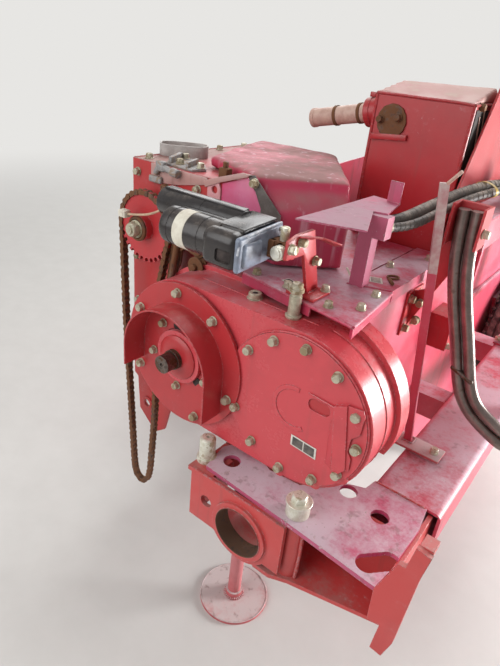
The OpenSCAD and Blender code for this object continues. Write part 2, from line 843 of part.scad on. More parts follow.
// A path beside another one: stepped across in the plane of X and Z, then below where it runs back
function beside_dir(d) =
  let (v = cross(d.y > 0.3 ? [-1, 1, 0] : [0, 1, 0], d)) v / norm(v);
function beside(path, step) =
  [for (i = [0 : len(path) - 1]) path[i] + step * beside_dir(tube_dir(path, i))];

// A tube swept along a path of points
module tube(path, r, sides) {
  n = len(path);
  polyhedron(
    points = [for (i = [0 : n - 1]) each tube_ring(path, i, r, sides)],
    faces = concat(
      [[for (k = [0 : sides - 1]) k]],
      [for (i = [0 : n - 2], k = [0 : sides - 1])
        let (k2 = (k + 1) % sides, a = i * sides, b = a + sides)
        each [[a + k, b + k, b + k2], [a + k, b + k2, a + k2]]],
      [[for (k = [sides - 1 : -1 : 0]) (n - 1) * sides + k]]
    )
  );
}

module hydraulic_pipes() {
  color("gray") place() for (step = [0, pipe_step]) tube(beside(pipe_points, step), pipe_r, pipe_sides);
}

// Panel that stands on the left wall beside the upright cover, and the small box under it
panel_top_z = 1420;
module side_panel() {
  color("firebrick") place() {
    plate_x(wall_x, sheet_t) polygon([
      [617, 900], [617, 1164], [760, panel_top_z], [1010, panel_top_z], [1160, 1120], [1160, 940]
    ]);
    plate_x(wall_x, 70) translate([700, 670]) square([110, 110]);
  }
}

// Rail above the main beam: it carries the pipes' bracket and the hoses' block
rail_top_z = 1140;
rail_h = 80;
rail_x0 = 424;
rail_x1 = 502;
rail_y0 = 484;
rail_post_w = 50;
rail_wall = 5;
rail_round = 6;
module pipe_rail() {
  color("firebrick") place() {
    box_tube_y(rail_x0, rail_top_z - rail_h, rail_x1 - rail_x0, rail_h, rail_y0, beam_end_y - rail_y0,
      rail_wall, rail_round);
    // Post on the main beam, and its foot
    translate([beam_x + 6, beam_end_y - 90, plate_z])
      cube([rail_post_w, rail_post_w, rail_top_z - plate_z - 20]);
    translate([rail_x1, beam_end_y - 90, rail_top_z - rail_h])
      cube([beam_x + 6 + rail_post_w - rail_x1, rail_post_w, rail_h]);
    plate_z(plate_z, 8) translate([beam_x - 6, beam_end_y - 110]) square([110, 90]);
    // Block that the hoses end in
    translate([rail_x0 + 12, hose_end_y + 0.3, rail_top_z]) cube([66, 52, 46]);
  }
}

// The pair of hoses: the thick one's middle line, and the step to the thin one
hose_end_y = 898;
hose_start = [hose_post.x + 18, hose_post.y + hose_post_w];
hose_points = [
  [hose_start.x, hose_start.y + 0.3, 1122], [hose_start.x, hose_start.y + 14, 1122], [319, 290, 1121],
  [332, 322, 1121], [346, 364, 1126], [360, 430, 1140], [378, 484, 1154],
  [396, 530, 1168], [418, 572, 1180], [440, 618, 1188], [455, 670, 1188], [461, 730, 1180],
  [462, 800, 1166], [462, 860, 1158], [462, hose_end_y, 1158]
];
hose_r = [17, 12];
hose_step = [29.5, 0, -4];
module hose_pair() {
  color("black") place() {
    tube(hose_points, hose_r[0], pipe_sides);
    tube([for (p = hose_points) p + hose_step], hose_r[1], pipe_sides);
  }
}

// Channel walls

wall_end_y = head_y + 150;
wall_outline = [
  [front_wall_y + sheet_t, table_low_z], [front_wall_y + sheet_t, 470], [560, 430], [share_y - 20, 60],
  [nose_y + 20, 60], [head_y + 80, head_z - 60], [wall_end_y, head_z + 20], [wall_end_y, portal_z],
  [880, 1010], [housing_back_y, table_low_z]
];

web_shaft_r = 17;
hinge_pin_r = 6;
hinge_out_r = 11;
lug_t = 12;
hinge_low_z = head_z + 24;
hinge_high_z = portal_z - lug_t;

module side_wall(x0) {
  difference() {
    plate_x(x0, sheet_t) polygon(wall_outline);
    for (p = [[nose_y, nose_z], [head_y, head_z]])
      bar_x(x0 - 1, p.x, p.y, sheet_t + 2, web_shaft_r + run_gap);
  }
  // Lugs and pin of the swath board's hinge
  for (z = [hinge_low_z, hinge_high_z]) plate_z(z, lug_t)
    translate([x0, wall_end_y - 1]) square([sheet_t, hinge_off + 1]);
  hinge_x = x0 + sheet_t / 2;
  bar_z(hinge_x, wall_end_y + hinge_off, hinge_low_z, hinge_high_z + lug_t - hinge_low_z, hinge_pin_r);
  for (z = [hinge_low_z, hinge_high_z])
    bar_z(hinge_x, wall_end_y + hinge_off, z, lug_t, hinge_out_r);
}

module side_wall_left() {
  color("firebrick") place() side_wall(wall_in_x);
}

module side_wall_right() {
  color("firebrick") place() side_wall(-wall_x);
}

// Share and web

share_top_y = nose_y - 58;
share_top_z = nose_z + 56;
module digging_share() {
  color("slategray") place() plate_x(-wall_in_x, 2 * wall_in_x) polygon([
    [share_y, 40], [share_top_y, share_top_z], [share_top_y, share_top_z - share_t],
    [share_y + 20, 36]
  ]);
}

belt_w = 60;
belt_t = 2 * rod_r + 1;
module web_loop(r) {
  circle(r);
  translate([web_len, 0]) circle(r);
  translate([0, -r]) square([web_len, 2 * r]);
}

web_half = wall_in_x - pass_gap;
straight = web_len;
loop_len = 2 * straight + 2 * PI * web_r;
function web_point(s) =
  s < straight ? [s, web_r] :
  s < straight + PI * web_r ?
    let (a = 90 - (s - straight) / web_r * 180 / PI) [web_len + web_r * cos(a), web_r * sin(a)] :
  s < 2 * straight + PI * web_r ? [web_len - (s - straight - PI * web_r), -web_r] :
    let (a = -90 - (s - 2 * straight - PI * web_r) / web_r * 180 / PI) [web_r * cos(a), web_r * sin(a)];

module rod_web() {
  color("slategray") place() translate([0, nose_y, nose_z]) rotate([web_angle, 0, 0]) {
    for (x = [-web_half, web_half - belt_w]) plate_x(x, belt_w) difference() {
      web_loop(web_r + belt_t / 2);
      web_loop(web_r - belt_t / 2);
    }
    for (i = [0 : rod_count - 1]) {
      p = web_point(i * loop_len / rod_count);
      translate([-web_half, p.x, p.y]) rotate([0, 90, 0]) cylinder(h = 2 * web_half, r = rod_r, $fn = 6);
    }
  }
}

module web_rollers() {
  color("gray") place() for (p = [[nose_y, nose_z], [head_y, head_z]]) {
    bar_x(-wall_x - 20, p.x, p.y, 2 * wall_x + 40, web_shaft_r);
    for (x = [-web_half, web_half - belt_w])
      bar_x(x, p.x, p.y, belt_w, web_r - belt_t / 2 - 0.2);
  }
}

// Wheels and axles

axle_plate_t = 14;
wheel_x = wall_x + axle_plate_t + pass_gap + tyre_w / 2;
hub_half = 45;
collar_r = 40;
module axle() {
  // Plate on the channel's wall, collar and stub
  plate_x(wall_x, axle_plate_t) polygon([
    [axle_y - 190, tyre_r + 230], [axle_y + 190, tyre_r + 250], [axle_y + 90, tyre_r - 40],
    [axle_y + 40, tyre_r - 58], [axle_y - 40, tyre_r - 58], [axle_y - 90, tyre_r - 40]
  ]);
  bar_x(wall_x + axle_plate_t, axle_y, tyre_r, wheel_x - hub_half - wall_x - axle_plate_t - 2, collar_r);
  bar_x(wall_x, axle_y, tyre_r, wheel_x + hub_half + 6 - wall_x, stub_r);
}

module axle_left() {
  color("firebrick") place() axle();
}
module axle_right() {
  color("firebrick") place() mirror([1, 0, 0]) axle();
}

rim_r = 190;
// Ribs and grooves round the tread
groove_d = 10;
groove_w = 8;
rib_half = 18;
module tyre() {
  color("dimgray") translate([wheel_x, axle_y, tyre_r]) rotate([0, 90, 0]) rotate_extrude()
    polygon([
      [rim_r, -tyre_w * 0.36], [rim_r + 25, -tyre_w / 2 + 6], [tyre_r - 60, -tyre_w / 2],
      [tyre_r - 22, -tyre_w / 2 + 4], [tyre_r - 4, -tyre_w / 2 + 20], [tyre_r - 3, -tyre_w / 2 + 44],
      [tyre_r - groove_d, -tyre_w / 2 + 46], [tyre_r - groove_d, -rib_half - groove_w],
      [tyre_r, -rib_half - groove_w + 2], [tyre_r, -groove_w / 2], [tyre_r - groove_d, -groove_w / 2 + 2],
      [tyre_r - groove_d, groove_w / 2 - 2], [tyre_r, groove_w / 2], [tyre_r, rib_half + groove_w - 2],
      [tyre_r - groove_d, rib_half + groove_w], [tyre_r - groove_d, tyre_w / 2 - 46],
      [tyre_r - 3, tyre_w / 2 - 44], [tyre_r - 4, tyre_w / 2 - 20], [tyre_r - 22, tyre_w / 2 - 4],
      [tyre_r - 60, tyre_w / 2], [rim_r + 25, tyre_w / 2 - 6],
      [rim_r, tyre_w * 0.36]
    ]);
}

module rim() {
  color("whitesmoke") translate([wheel_x, axle_y, tyre_r]) rotate([0, 90, 0]) difference() {
    union() {
      rotate_extrude() polygon([
        [rim_r, -tyre_w * 0.36], [rim_r, tyre_w * 0.36], [rim_r - 12, tyre_w * 0.36],
        [rim_r - 30, 20], [rim_r - 30, -20], [rim_r - 12, -tyre_w * 0.36]
      ]);
      translate([0, 0, -4]) cylinder(h = 8, r = rim_r - 25);
      translate([0, 0, -hub_half]) cylinder(h = 2 * hub_half, r = 50);
    }
    translate([0, 0, -hub_half - 1]) cylinder(h = 2 * hub_half + 10, r = stub_r + run_gap);
  }
}

module tyre_left() {
  place() tyre();
}
module rim_left() {
  place() rim();
}
module tyre_right() {
  place() mirror([1, 0, 0]) tyre();
}
module rim_right() {
  place() mirror([1, 0, 0]) rim();
}

// Swath boards behind the walls

board_low_z = hinge_low_z - 40;
board_high_z = hinge_high_z - 2;
module swath_board(x0) {
  y0 = wall_end_y + hinge_off;
  hinge_x = x0 + sheet_t / 2;
  difference() {
    union() {
      bar_z(hinge_x, y0, hinge_low_z + lug_t + 1, hinge_high_z - hinge_low_z - lug_t - 2, hinge_out_r);
      plate_x(x0, sheet_t) polygon([
        [y0, hinge_low_z + lug_t + 1], [y0 + 16, hinge_low_z + lug_t + 1], [y0 + 26, board_low_z],
        [rear_y - 20, board_low_z], [rear_y, board_low_z + 20], [rear_y, board_high_z - 60],
        [rear_y - 60, board_high_z], [y0, board_high_z]
      ]);
    }
    bar_z(hinge_x, y0, hinge_low_z, hinge_high_z - hinge_low_z, hinge_pin_r + run_gap);
  }
}
module swath_board_left() {
  color("firebrick") place() swath_board(wall_in_x);
}
module swath_board_right() {
  color("firebrick") place() swath_board(-wall_x);
}

main_beam();
side_rail();
cross_members();
hitch_plate();
hitch_box();
hitch_pins();
stand_post();
stand_leg();
gear_case();
gear_cover();
drive_guard();
case_fittings();
drive_shaft();
front_wall();
chain_sprocket();
drive_chain();
chain_tensioner();
housing_box();
hood();
table();
loose_plate();
lever_bracket();
actuator();
actuator_lead();
lead_connector();
upright_cover();
post_bar();
pipe_bracket();
hydraulic_pipes();
side_panel();
pipe_rail();
hose_pair();
side_wall_left();
side_wall_right();
digging_share();
rod_web();
web_rollers();
axle_left();
axle_right();
tyre_left();
rim_left();
tyre_right();
rim_right();
swath_board_left();
swath_board_right();
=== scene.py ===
# %% [markdown]
# # A trailed potato digger, seen over its hitch
#
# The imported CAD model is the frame: every rigid part with a true shape comes from it. This
# script gives those parts their paint, rust and dust, replaces a few of them by finer pieces,
# and adds the bolts, welds and small fittings that a workshop would see at arm's length.

# %% Load the frame
import math
import random

import bmesh
import bpy
from mathutils import Matrix, Vector


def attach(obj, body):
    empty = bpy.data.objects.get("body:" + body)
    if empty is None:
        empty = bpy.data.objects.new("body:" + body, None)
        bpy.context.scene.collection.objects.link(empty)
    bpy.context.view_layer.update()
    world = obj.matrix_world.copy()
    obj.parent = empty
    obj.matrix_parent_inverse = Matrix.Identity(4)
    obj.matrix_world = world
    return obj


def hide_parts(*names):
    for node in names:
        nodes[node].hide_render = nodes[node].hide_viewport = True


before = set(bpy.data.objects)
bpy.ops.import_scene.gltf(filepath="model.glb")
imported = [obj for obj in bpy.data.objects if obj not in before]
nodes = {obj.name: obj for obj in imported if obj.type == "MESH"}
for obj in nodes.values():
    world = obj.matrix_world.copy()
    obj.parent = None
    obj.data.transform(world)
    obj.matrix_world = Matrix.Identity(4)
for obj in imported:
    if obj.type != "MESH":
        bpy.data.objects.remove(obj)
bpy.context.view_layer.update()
bpy.ops.object.select_all(action="DESELECT")
random.seed(7)
print("nodes in the frame:", len(nodes))

# %% [markdown]
# The drawing of the digger counts from the front face of its gear case and from the axis of
# its drive shaft, in millimetres. The frame counts in metres from the middle of the whole
# machine. One small function turns the first into the second, so that every size below can be
# read like a drawing.

# %% Places in millimetres
MIDDLE_X = 43.5
MIDDLE_Y = 1300


def at(x, y, z):
    return Vector(((x - MIDDLE_X) / 1000, (y - MIDDLE_Y) / 1000, z / 1000))


def mm(value):
    return value / 1000


print("front of the gear case:", tuple(round(c, 3) for c in at(0, 0, 754)))

# %% [markdown]
# The photograph was taken by someone who stood by the left front corner and held a phone at
# chest height, tilted down. The camera's place and its three axes follow from the vanishing
# points of the machine's straight edges.

# %% Camera
CAMERA_AT = at(796, -850, 1440)
VIEW_RIGHT = Vector((0.782, 0.616, 0.093))
VIEW_UP = Vector((-0.354, 0.317, 0.880))
VIEW_AHEAD = Vector((-0.512, 0.721, -0.467))

bpy.ops.object.camera_add(location=CAMERA_AT)
camera = bpy.context.object
camera.name = "photo_camera"
turn = Matrix((VIEW_RIGHT, VIEW_UP, -VIEW_AHEAD)).transposed()
camera.rotation_euler = turn.to_euler()
camera.data.lens = 28.97
camera.data.sensor_width = 36
camera.data.clip_start = 0.05
bpy.context.scene.camera = camera
bpy.context.scene.view_settings.view_transform = "Standard"
print("camera at", tuple(camera.location))

# %% [markdown]
# ## Finishes
#
# Every finish is a node tree on the Principled shader. The helpers below name the few nodes
# that all of them share: a noise, a mask with soft limits, a mix of two colours and a bump.
# All patterns read Object coordinates, so they stay on the part when it turns.

# %% Node helpers
class Finish:
    def __init__(self, name, metallic=0.0):
        self.material = bpy.data.materials.new(name)
        self.material.use_nodes = True
        self.tree = self.material.node_tree
        self.shader = self.tree.nodes["Principled BSDF"]
        self.shader.inputs["Metallic"].default_value = metallic
        self.place = self.node("ShaderNodeTexCoord")

    def feed(self, socket, value):
        # value: the output of another node, or a plain number or colour
        if isinstance(value, bpy.types.NodeSocket):
            self.tree.links.new(value, socket)
        else:
            socket.default_value = (*value, 1) if socket.type == "RGBA" else value

    def node(self, kind, inputs=None, **settings):
        made = self.tree.nodes.new(kind)
        for key, value in settings.items():
            setattr(made, key, value)
        for key, value in (inputs or {}).items():
            self.feed(made.inputs[key], value)
        return made

    def noise(self, scale, detail=4, rough=0.55, stretch=None, distort=0.0):
        spot = self.place.outputs["Object"]
        if stretch:
            spot = self.node("ShaderNodeMapping", {"Vector": spot, "Scale": stretch}).outputs["Vector"]
        values = {"Vector": spot, "Scale": scale, "Detail": detail, "Roughness": rough, "Distortion": distort}
        return self.node("ShaderNodeTexNoise", values).outputs["Fac"]

    def mask(self, value, low, high):
        limits = {"Value": value, "From Min": low, "From Max": high}
        return self.node("ShaderNodeMapRange", limits, interpolation_type="SMOOTHSTEP").outputs["Result"]

    def math(self, operation, a, b, clamp=False):
        return self.node("ShaderNodeMath", {0: a, 1: b}, operation=operation, use_clamp=clamp).outputs[0]

    def times(self, a, b, clamp=False):
        return self.math("MULTIPLY", a, b, clamp)

    def plus(self, a, b, share=1.0, clamp=False):
        # a and a share of b
        return self.math("ADD", a, b if share == 1.0 else self.times(b, share), clamp)

    def mix(self, factor, a, b):
        made = self.node("ShaderNodeMix", {"Factor": factor}, data_type="RGBA")
        for key, value in (("A", a), ("B", b)):
            self.feed([s for s in made.inputs if s.name == key and s.type == "RGBA"][0], value)
        return [s for s in made.outputs if s.type == "RGBA"][0]

    def upward(self, value, least, clamp=False):
        # value in full on what faces up, and only the share least on the rest
        split = self.node("ShaderNodeSeparateXYZ", {0: self.place.outputs["Normal"]})
        up = self.mask(split.outputs["Z"], 0.35, 0.95)
        return self.times(value, self.plus(least, up, 1 - least), clamp)

    def rounded(self, radius):
        return self.node("ShaderNodeBevel", {"Radius": radius}, samples=4).outputs[0]

    def edges(self, radius):
        true = self.node("ShaderNodeNewGeometry").outputs["Normal"]
        dot = self.node("ShaderNodeVectorMath", {0: self.rounded(radius), 1: true}, operation="DOT_PRODUCT")
        return self.mask(dot.outputs["Value"], 0.985, 0.86)

    def bump(self, height, strength, depth, under):
        values = {"Height": height, "Strength": strength, "Distance": depth, "Normal": under}
        return self.node("ShaderNodeBump", values).outputs["Normal"]

    def done(self, color, roughness, normal=None):
        for key, value in (("Base Color", color), ("Roughness", roughness), ("Normal", normal)):
            if value is not None:
                self.feed(self.shader.inputs[key], value)
        return self.material


print("finish helpers ready")

# %% [markdown]
# The paint is a sun-bleached crimson. It is made of layers, as on the real machine: fresh
# paint in sheltered places, chalky violet-pink where the sun reached it, pale dust on what
# faces up, runs of dirt down the walls, chips down to primer and bare steel along the edges,
# and a little rust in the chips.

# %% Red paint
FRESH = (0.50, 0.024, 0.036)
FADED = (0.55, 0.085, 0.13)
CHALK = (0.62, 0.40, 0.44)
DUST = (0.50, 0.41, 0.35)
BARE = (0.34, 0.29, 0.27)
RUST = (0.12, 0.042, 0.02)


def red_paint(name, fade=0.4, dust=0.4, chips=0.3, rust=0.2, fresh=FRESH, faded=FADED, chalky=0.3,
              gloss=0.33, dust_color=DUST, run_color=(0.16, 0.075, 0.06), runny=0.22):
    paint = Finish(name)
    cloud = paint.noise(2.7, 5, 0.6, distort=0.4)
    patch = paint.noise(13, 6, 0.65)
    grain = paint.noise(120, 4, 0.62)
    fine = paint.noise(520, 2, 0.5)
    edge = paint.edges(0.0035)
    # Bleached by the sun
    bleached = paint.mask(paint.plus(cloud, patch, 0.5), 0.96 - 0.5 * fade, 1.28 - 0.42 * fade)
    bleached = paint.upward(bleached, 0.4)
    color = paint.mix(bleached, fresh, faded)
    # A greyer, worn tone in clouds, so that no wall is one flat red
    tired = paint.times(paint.mask(paint.noise(6.3, 6, 0.68), 0.44, 0.66), 0.30)
    color = paint.mix(tired, color, tuple(c * 0.62 + 0.012 for c in fresh))
    chalk = paint.upward(paint.mask(paint.plus(patch, grain, 0.7), 0.98, 1.10), 0.25)
    color = paint.mix(paint.times(chalk, chalky), color, CHALK)
    # Dust lies on what faces up, and dirt runs down the sides
    settled = paint.mask(paint.plus(paint.plus(cloud, patch, 0.7), grain, 0.32),
                         1.02 - 0.22 * dust, 1.36 - 0.16 * dust)
    settled = paint.times(paint.upward(settled, 0.07), min(0.9, dust))
    color = paint.mix(settled, color, dust_color)
    runs = paint.mask(paint.noise(38, 3, 0.6, stretch=(1, 1, 0.07)), 0.56, 0.72)
    color = paint.mix(paint.times(runs, runny * (dust + rust)), color, run_color)
    # Chips: small islands, denser along the edges
    spots = paint.mask(paint.plus(grain, patch, 0.6), 1.13 - 0.17 * chips, 1.15 - 0.17 * chips)
    worn = paint.times(paint.times(edge, paint.mask(grain, 0.45, 0.6)), min(1.0, 0.35 + chips))
    worn = paint.math("MAXIMUM", worn, spots)
    color = paint.mix(worn, color, paint.mix(paint.mask(fine, 0.4, 0.6), BARE, CHALK))
    rusty = paint.mask(paint.plus(patch, edge, 0.22), 0.82 - 0.25 * rust, 0.88 - 0.25 * rust)
    rusty = paint.times(rusty, paint.mask(grain, 0.4, 0.62))
    color = paint.mix(rusty, color, RUST)
    rough = paint.plus(paint.plus(gloss, settled, 0.4), bleached, 0.14)
    rough = paint.plus(rough, rusty, 0.3, clamp=True)
    dents = paint.bump(cloud, 0.2, 0.004, paint.rounded(0.0022))
    relief = paint.plus(paint.times(worn, -0.8), fine, 0.7)
    return paint.done(color, rough, paint.bump(relief, 0.35, 0.0005, dents))


print("paint ready")

# %% [markdown]
# The machine wears one paint in many states. The gear case was wiped, the hitch and the beams
# are bleached and dusty, the hood is violet under brown dust, and the wheels have a cream rim.

# %% Paints
VIOLET = (0.43, 0.12, 0.22)
LAVENDER_DUST = (0.60, 0.48, 0.54)
BROWN_DUST = (0.36, 0.25, 0.22)
case_red = red_paint("case_crimson", fade=0.3, dust=0.5, chips=0.12, rust=0.02, fresh=(0.60, 0.065, 0.080),
                     faded=(0.58, 0.10, 0.15), dust_color=(0.50, 0.36, 0.38), gloss=0.27)
guard_red = red_paint("guard_crimson", fade=0.2, dust=0.3, chips=0.15, rust=0.1, fresh=(0.47, 0.032, 0.038))
plate_pink = red_paint("bleached_plate", fade=0.85, dust=1.75, chips=0.9, rust=0.10, chalky=0.85, gloss=0.4,
                       fresh=(0.50, 0.045, 0.13), faded=VIOLET, dust_color=LAVENDER_DUST)
foot_pink = red_paint("dusty_foot", fade=0.9, dust=2.0, chips=0.5, chalky=0.8, gloss=0.5,
                      faded=(0.56, 0.36, 0.37), dust_color=(0.56, 0.49, 0.48))
hitch_red = red_paint("hitch_red", fade=0.35, dust=0.6, chips=0.35, rust=0.18, fresh=(0.56, 0.062, 0.060),
                      faded=(0.58, 0.14, 0.15), dust_color=BROWN_DUST)
table_red = red_paint("dusty_table", fade=0.6, dust=0.85, chips=0.4, rust=0.05, fresh=(0.52, 0.035, 0.09),
                      faded=VIOLET, chalky=0.6, dust_color=LAVENDER_DUST)
hood_violet = red_paint("hood_violet", fade=0.55, dust=1.5, rust=0.10, fresh=(0.50, 0.024, 0.075),
                        faded=(0.42, 0.075, 0.15), chalky=0.15, gloss=0.42, runny=0.26,
                        dust_color=(0.24, 0.135, 0.12), run_color=(0.66, 0.46, 0.54))
box_red = red_paint("housing_red", fade=0.35, dust=1.6, rust=0.25, fresh=(0.52, 0.026, 0.05),
                    dust_color=BROWN_DUST)
frame_red = red_paint("frame_red", fade=0.7, dust=1.5, chips=0.35, rust=0.15, fresh=(0.54, 0.035, 0.075),
                      faded=(0.50, 0.11, 0.19), chalky=0.5, dust_color=LAVENDER_DUST)
wall_red = red_paint("wall_red", fade=0.3, dust=0.5, chips=0.25, rust=0.45, fresh=(0.47, 0.034, 0.036))
cover_red = red_paint("battered_red", fade=0.2, dust=0.9, chips=0.4, rust=0.45, fresh=(0.43, 0.022, 0.028),
                      dust_color=BROWN_DUST)
rim_cream = red_paint("rim_cream", fade=0.6, dust=0.6, chips=0.4, rust=0.5, fresh=(0.62, 0.55, 0.44),
                      faded=(0.70, 0.64, 0.54))
roof_dust = red_paint("roof_dust", fade=0.8, dust=1.3, chips=0.6, rust=0.25, fresh=(0.48, 0.26, 0.24),
                      faded=(0.50, 0.36, 0.33), dust_color=(0.45, 0.33, 0.29))
lug_pink = red_paint("lug_pink", fade=0.8, dust=1.0, rust=0.1, fresh=(0.66, 0.30, 0.32),
                     faded=(0.68, 0.42, 0.45))
magenta = red_paint("sheltered_magenta", fade=0.7, dust=0.9, rust=0.05, fresh=(0.58, 0.07, 0.17),
                    faded=(0.58, 0.18, 0.36), dust_color=LAVENDER_DUST)
loose_violet = red_paint("loose_violet", fade=0.8, dust=1.1, chips=0.8, rust=0.12, fresh=(0.48, 0.07, 0.14),
                         faded=VIOLET, chalky=0.4, gloss=0.45, dust_color=(0.42, 0.27, 0.31))
print("paints:", len(bpy.data.materials))

# %% [markdown]
# Bare metals come in several states here: zinc on the bolts and pins, brown and pitted steel
# on the chain and the stand's post, soil-polished steel on the web and the share, and a grey
# casting.

# %% Metals


def metal(name, bright, dark, stain, amount, roughness, scale=60, metallic=0.85):
    steel = Finish(name, metallic)
    broad = steel.noise(scale * 0.25, 5, 0.6)
    grain = steel.noise(scale, 5, 0.65)
    pits = steel.noise(scale * 7, 3, 0.6)
    color = steel.mix(steel.mask(grain, 0.35, 0.65), dark, bright)
    stained = steel.mask(steel.plus(broad, grain, 0.6), 1.02 - 0.5 * amount, 1.12 - 0.5 * amount)
    color = steel.mix(stained, color, stain)
    color = steel.mix(steel.times(steel.edges(0.002), 0.6), color, bright)
    rough = steel.plus(roughness, stained, 0.3, clamp=True)
    return steel.done(color, rough, steel.bump(pits, 0.5, 0.0006, steel.rounded(0.001)))


zinc = metal("dull_zinc", (0.60, 0.57, 0.45), (0.42, 0.38, 0.28), (0.32, 0.25, 0.15), 0.45, 0.42,
             metallic=0.45)
bright_zinc = metal("bright_zinc", (0.80, 0.79, 0.70), (0.62, 0.59, 0.48), (0.44, 0.38, 0.26), 0.35, 0.38,
                    metallic=0.4)
dark_steel = metal("oiled_steel", (0.24, 0.20, 0.18), (0.08, 0.06, 0.05), (0.13, 0.07, 0.04), 0.6, 0.4)
rusty_steel = metal("rusty_steel", (0.26, 0.16, 0.11), (0.09, 0.045, 0.028), (0.19, 0.085, 0.04), 0.7, 0.55,
                    metallic=0.4)
pipe_steel = metal("bare_pipe", (0.30, 0.24, 0.22), (0.20, 0.155, 0.14), (0.20, 0.14, 0.12), 0.3, 0.3,
                   scale=22)
dirt_brown = metal("chain_dirt", (0.15, 0.085, 0.055), (0.075, 0.045, 0.032), (0.12, 0.065, 0.04), 0.6, 0.8,
                   metallic=0.0)
web_steel = metal("soil_polished_steel", (0.46, 0.43, 0.40), (0.22, 0.18, 0.15), (0.20, 0.11, 0.06), 0.55,
                  0.34, scale=30)
grey_cast = metal("grey_casting", (0.44, 0.42, 0.41), (0.25, 0.24, 0.24), (0.32, 0.24, 0.19), 0.45, 0.6,
                  metallic=0.25)
print("metals ready")

# %% [markdown]
# Rubber, plastic and tape are not metals and need no edge wear: dust in the low places and a
# soft, uneven sheen say more. Two thickly dusted steel surfaces are made in the same way.

# %% Rubber, plastic and tape


def soft_surface(name, color, shade, dusting, roughness, scale=40):
    finish = Finish(name)
    broad = finish.noise(scale * 0.2, 4, 0.6)
    grain = finish.noise(scale, 5, 0.65)
    fine = finish.noise(scale * 9, 3, 0.5)
    base = finish.mix(finish.mask(grain, 0.35, 0.65), color, shade)
    dusty = finish.times(finish.mask(finish.plus(broad, grain), 0.85, 1.3), dusting)
    dusty = finish.upward(dusty, 0.3, clamp=True)
    base = finish.mix(dusty, base, DUST)
    rough = finish.plus(roughness, dusty, 0.3, clamp=True)
    relief = finish.node("ShaderNodeBump", {"Height": fine, "Strength": 0.4, "Distance": 0.0004})
    return finish.done(base, rough, relief.outputs["Normal"])


motor_black = soft_surface("motor_black", (0.030, 0.026, 0.027), (0.016, 0.014, 0.015), 0.2, 0.24)
cap_grey = soft_surface("end_cap_grey", (0.24, 0.28, 0.36), (0.13, 0.15, 0.20), 0.5, 0.35)
# painted highlight: a pale grey for the cap's rounded edge, partly rubbed paint
cap_edge = soft_surface("cap_rim_highlight_and_wear", (0.62, 0.64, 0.68), (0.30, 0.33, 0.38), 0.3, 0.4, scale=70)
tape_cream = soft_surface("cream_tape", (0.76, 0.73, 0.62), (0.64, 0.60, 0.50), 0.4, 0.5)
hose_black = soft_surface("hose_black", (0.075, 0.062, 0.055), (0.035, 0.030, 0.028), 0.8, 0.5)
tyre_rubber = soft_surface("tyre_rubber", (0.035, 0.033, 0.031), (0.018, 0.017, 0.016), 1.1, 0.72)
belt_rubber = soft_surface("belt_rubber", (0.05, 0.045, 0.04), (0.03, 0.025, 0.022), 1.3, 0.75)
lead_cream = soft_surface("lead_cream", (0.56, 0.40, 0.27), (0.40, 0.27, 0.19), 0.5, 0.55)
plug_white = soft_surface("plug_white", (0.74, 0.70, 0.60), (0.56, 0.50, 0.42), 0.4, 0.45)
plate_white = soft_surface("blank_plate", (0.74, 0.72, 0.66), (0.60, 0.57, 0.52), 0.4, 0.4)
plate_black = soft_surface("plate_ground", (0.035, 0.035, 0.035), (0.06, 0.055, 0.05), 0.9, 0.4)
tie_yellow = soft_surface("tie_yellow", (0.62, 0.42, 0.05), (0.45, 0.30, 0.05), 0.5, 0.4)
tube_pale = soft_surface("tube_pale", (0.58, 0.40, 0.33), (0.46, 0.27, 0.22), 0.7, 0.5)
hoop_grey = soft_surface("hoop_grey", (0.46, 0.43, 0.41), (0.34, 0.31, 0.30), 0.7, 0.5)
worn_bar = soft_surface("worn_bar", (0.55, 0.44, 0.42), (0.46, 0.20, 0.22), 0.5, 0.4, scale=24)
lid_brown = soft_surface("lid_dust", (0.44, 0.26, 0.23), (0.40, 0.13, 0.13), 1.0, 0.6, scale=14)
# painted shade: the dark grey of the sheet that stands in for the shade in the gap under the hood
painted_shade_grey = soft_surface("painted_shade_grey", (0.13, 0.11, 0.10), (0.075, 0.06, 0.055), 0.5, 0.6)
# painted shade: near black for the sheets and plugs that stand in for the shade in slots, sockets, a notch
# and the cover's side
shadow_black = soft_surface("painted_shadow", (0.02, 0.014, 0.013), (0.03, 0.02, 0.02), 0.3, 0.8)
print("soft finishes ready")

# %% [markdown]
# Each CAD node gets the finish that the photograph shows on it. The node keeps its mesh; only
# the material in its slots changes.

# %% Finishes on the CAD nodes
NODE_FINISH = {
    case_red: ["gear_case", "gear_cover"],
    plate_pink: ["hitch_plate", "post_bar"],
    loose_violet: ["loose_plate"],
    foot_pink: ["stand_leg"],
    hitch_red: ["hitch_box"],
    frame_red: ["main_beam", "side_rail", "cross_members", "axle_left", "axle_right", "side_wall_left",
                "side_wall_right", "swath_board_left", "swath_board_right", "pipe_rail"],
    guard_red: ["drive_guard", "chain_sprocket", "lever_bracket", "pipe_bracket"],
    wall_red: ["front_wall"],
    box_red: ["housing_box"],
    hood_violet: ["hood"],
    table_red: ["table"],
    cover_red: ["upright_cover", "side_panel"],
    zinc: ["hitch_pins", "case_fittings"],
    dark_steel: ["stand_post", "drive_shaft"],
    rusty_steel: ["drive_chain", "chain_tensioner"],
    web_steel: ["digging_share", "rod_web", "web_rollers"],
    motor_black: ["actuator"],
    pipe_steel: ["hydraulic_pipes"],
    hose_black: ["hose_pair"],
    lead_cream: ["actuator_lead"],
    plug_white: ["lead_connector"],
    tyre_rubber: ["tyre_left", "tyre_right"],
    rim_cream: ["rim_left", "rim_right"],
}
dressed = set()
for finish, names in NODE_FINISH.items():
    for name in names:
        mesh = nodes[name].data
        mesh.materials.clear()
        mesh.materials.append(finish)
        dressed.add(name)
print("nodes without a finish:", sorted(set(nodes) - dressed))

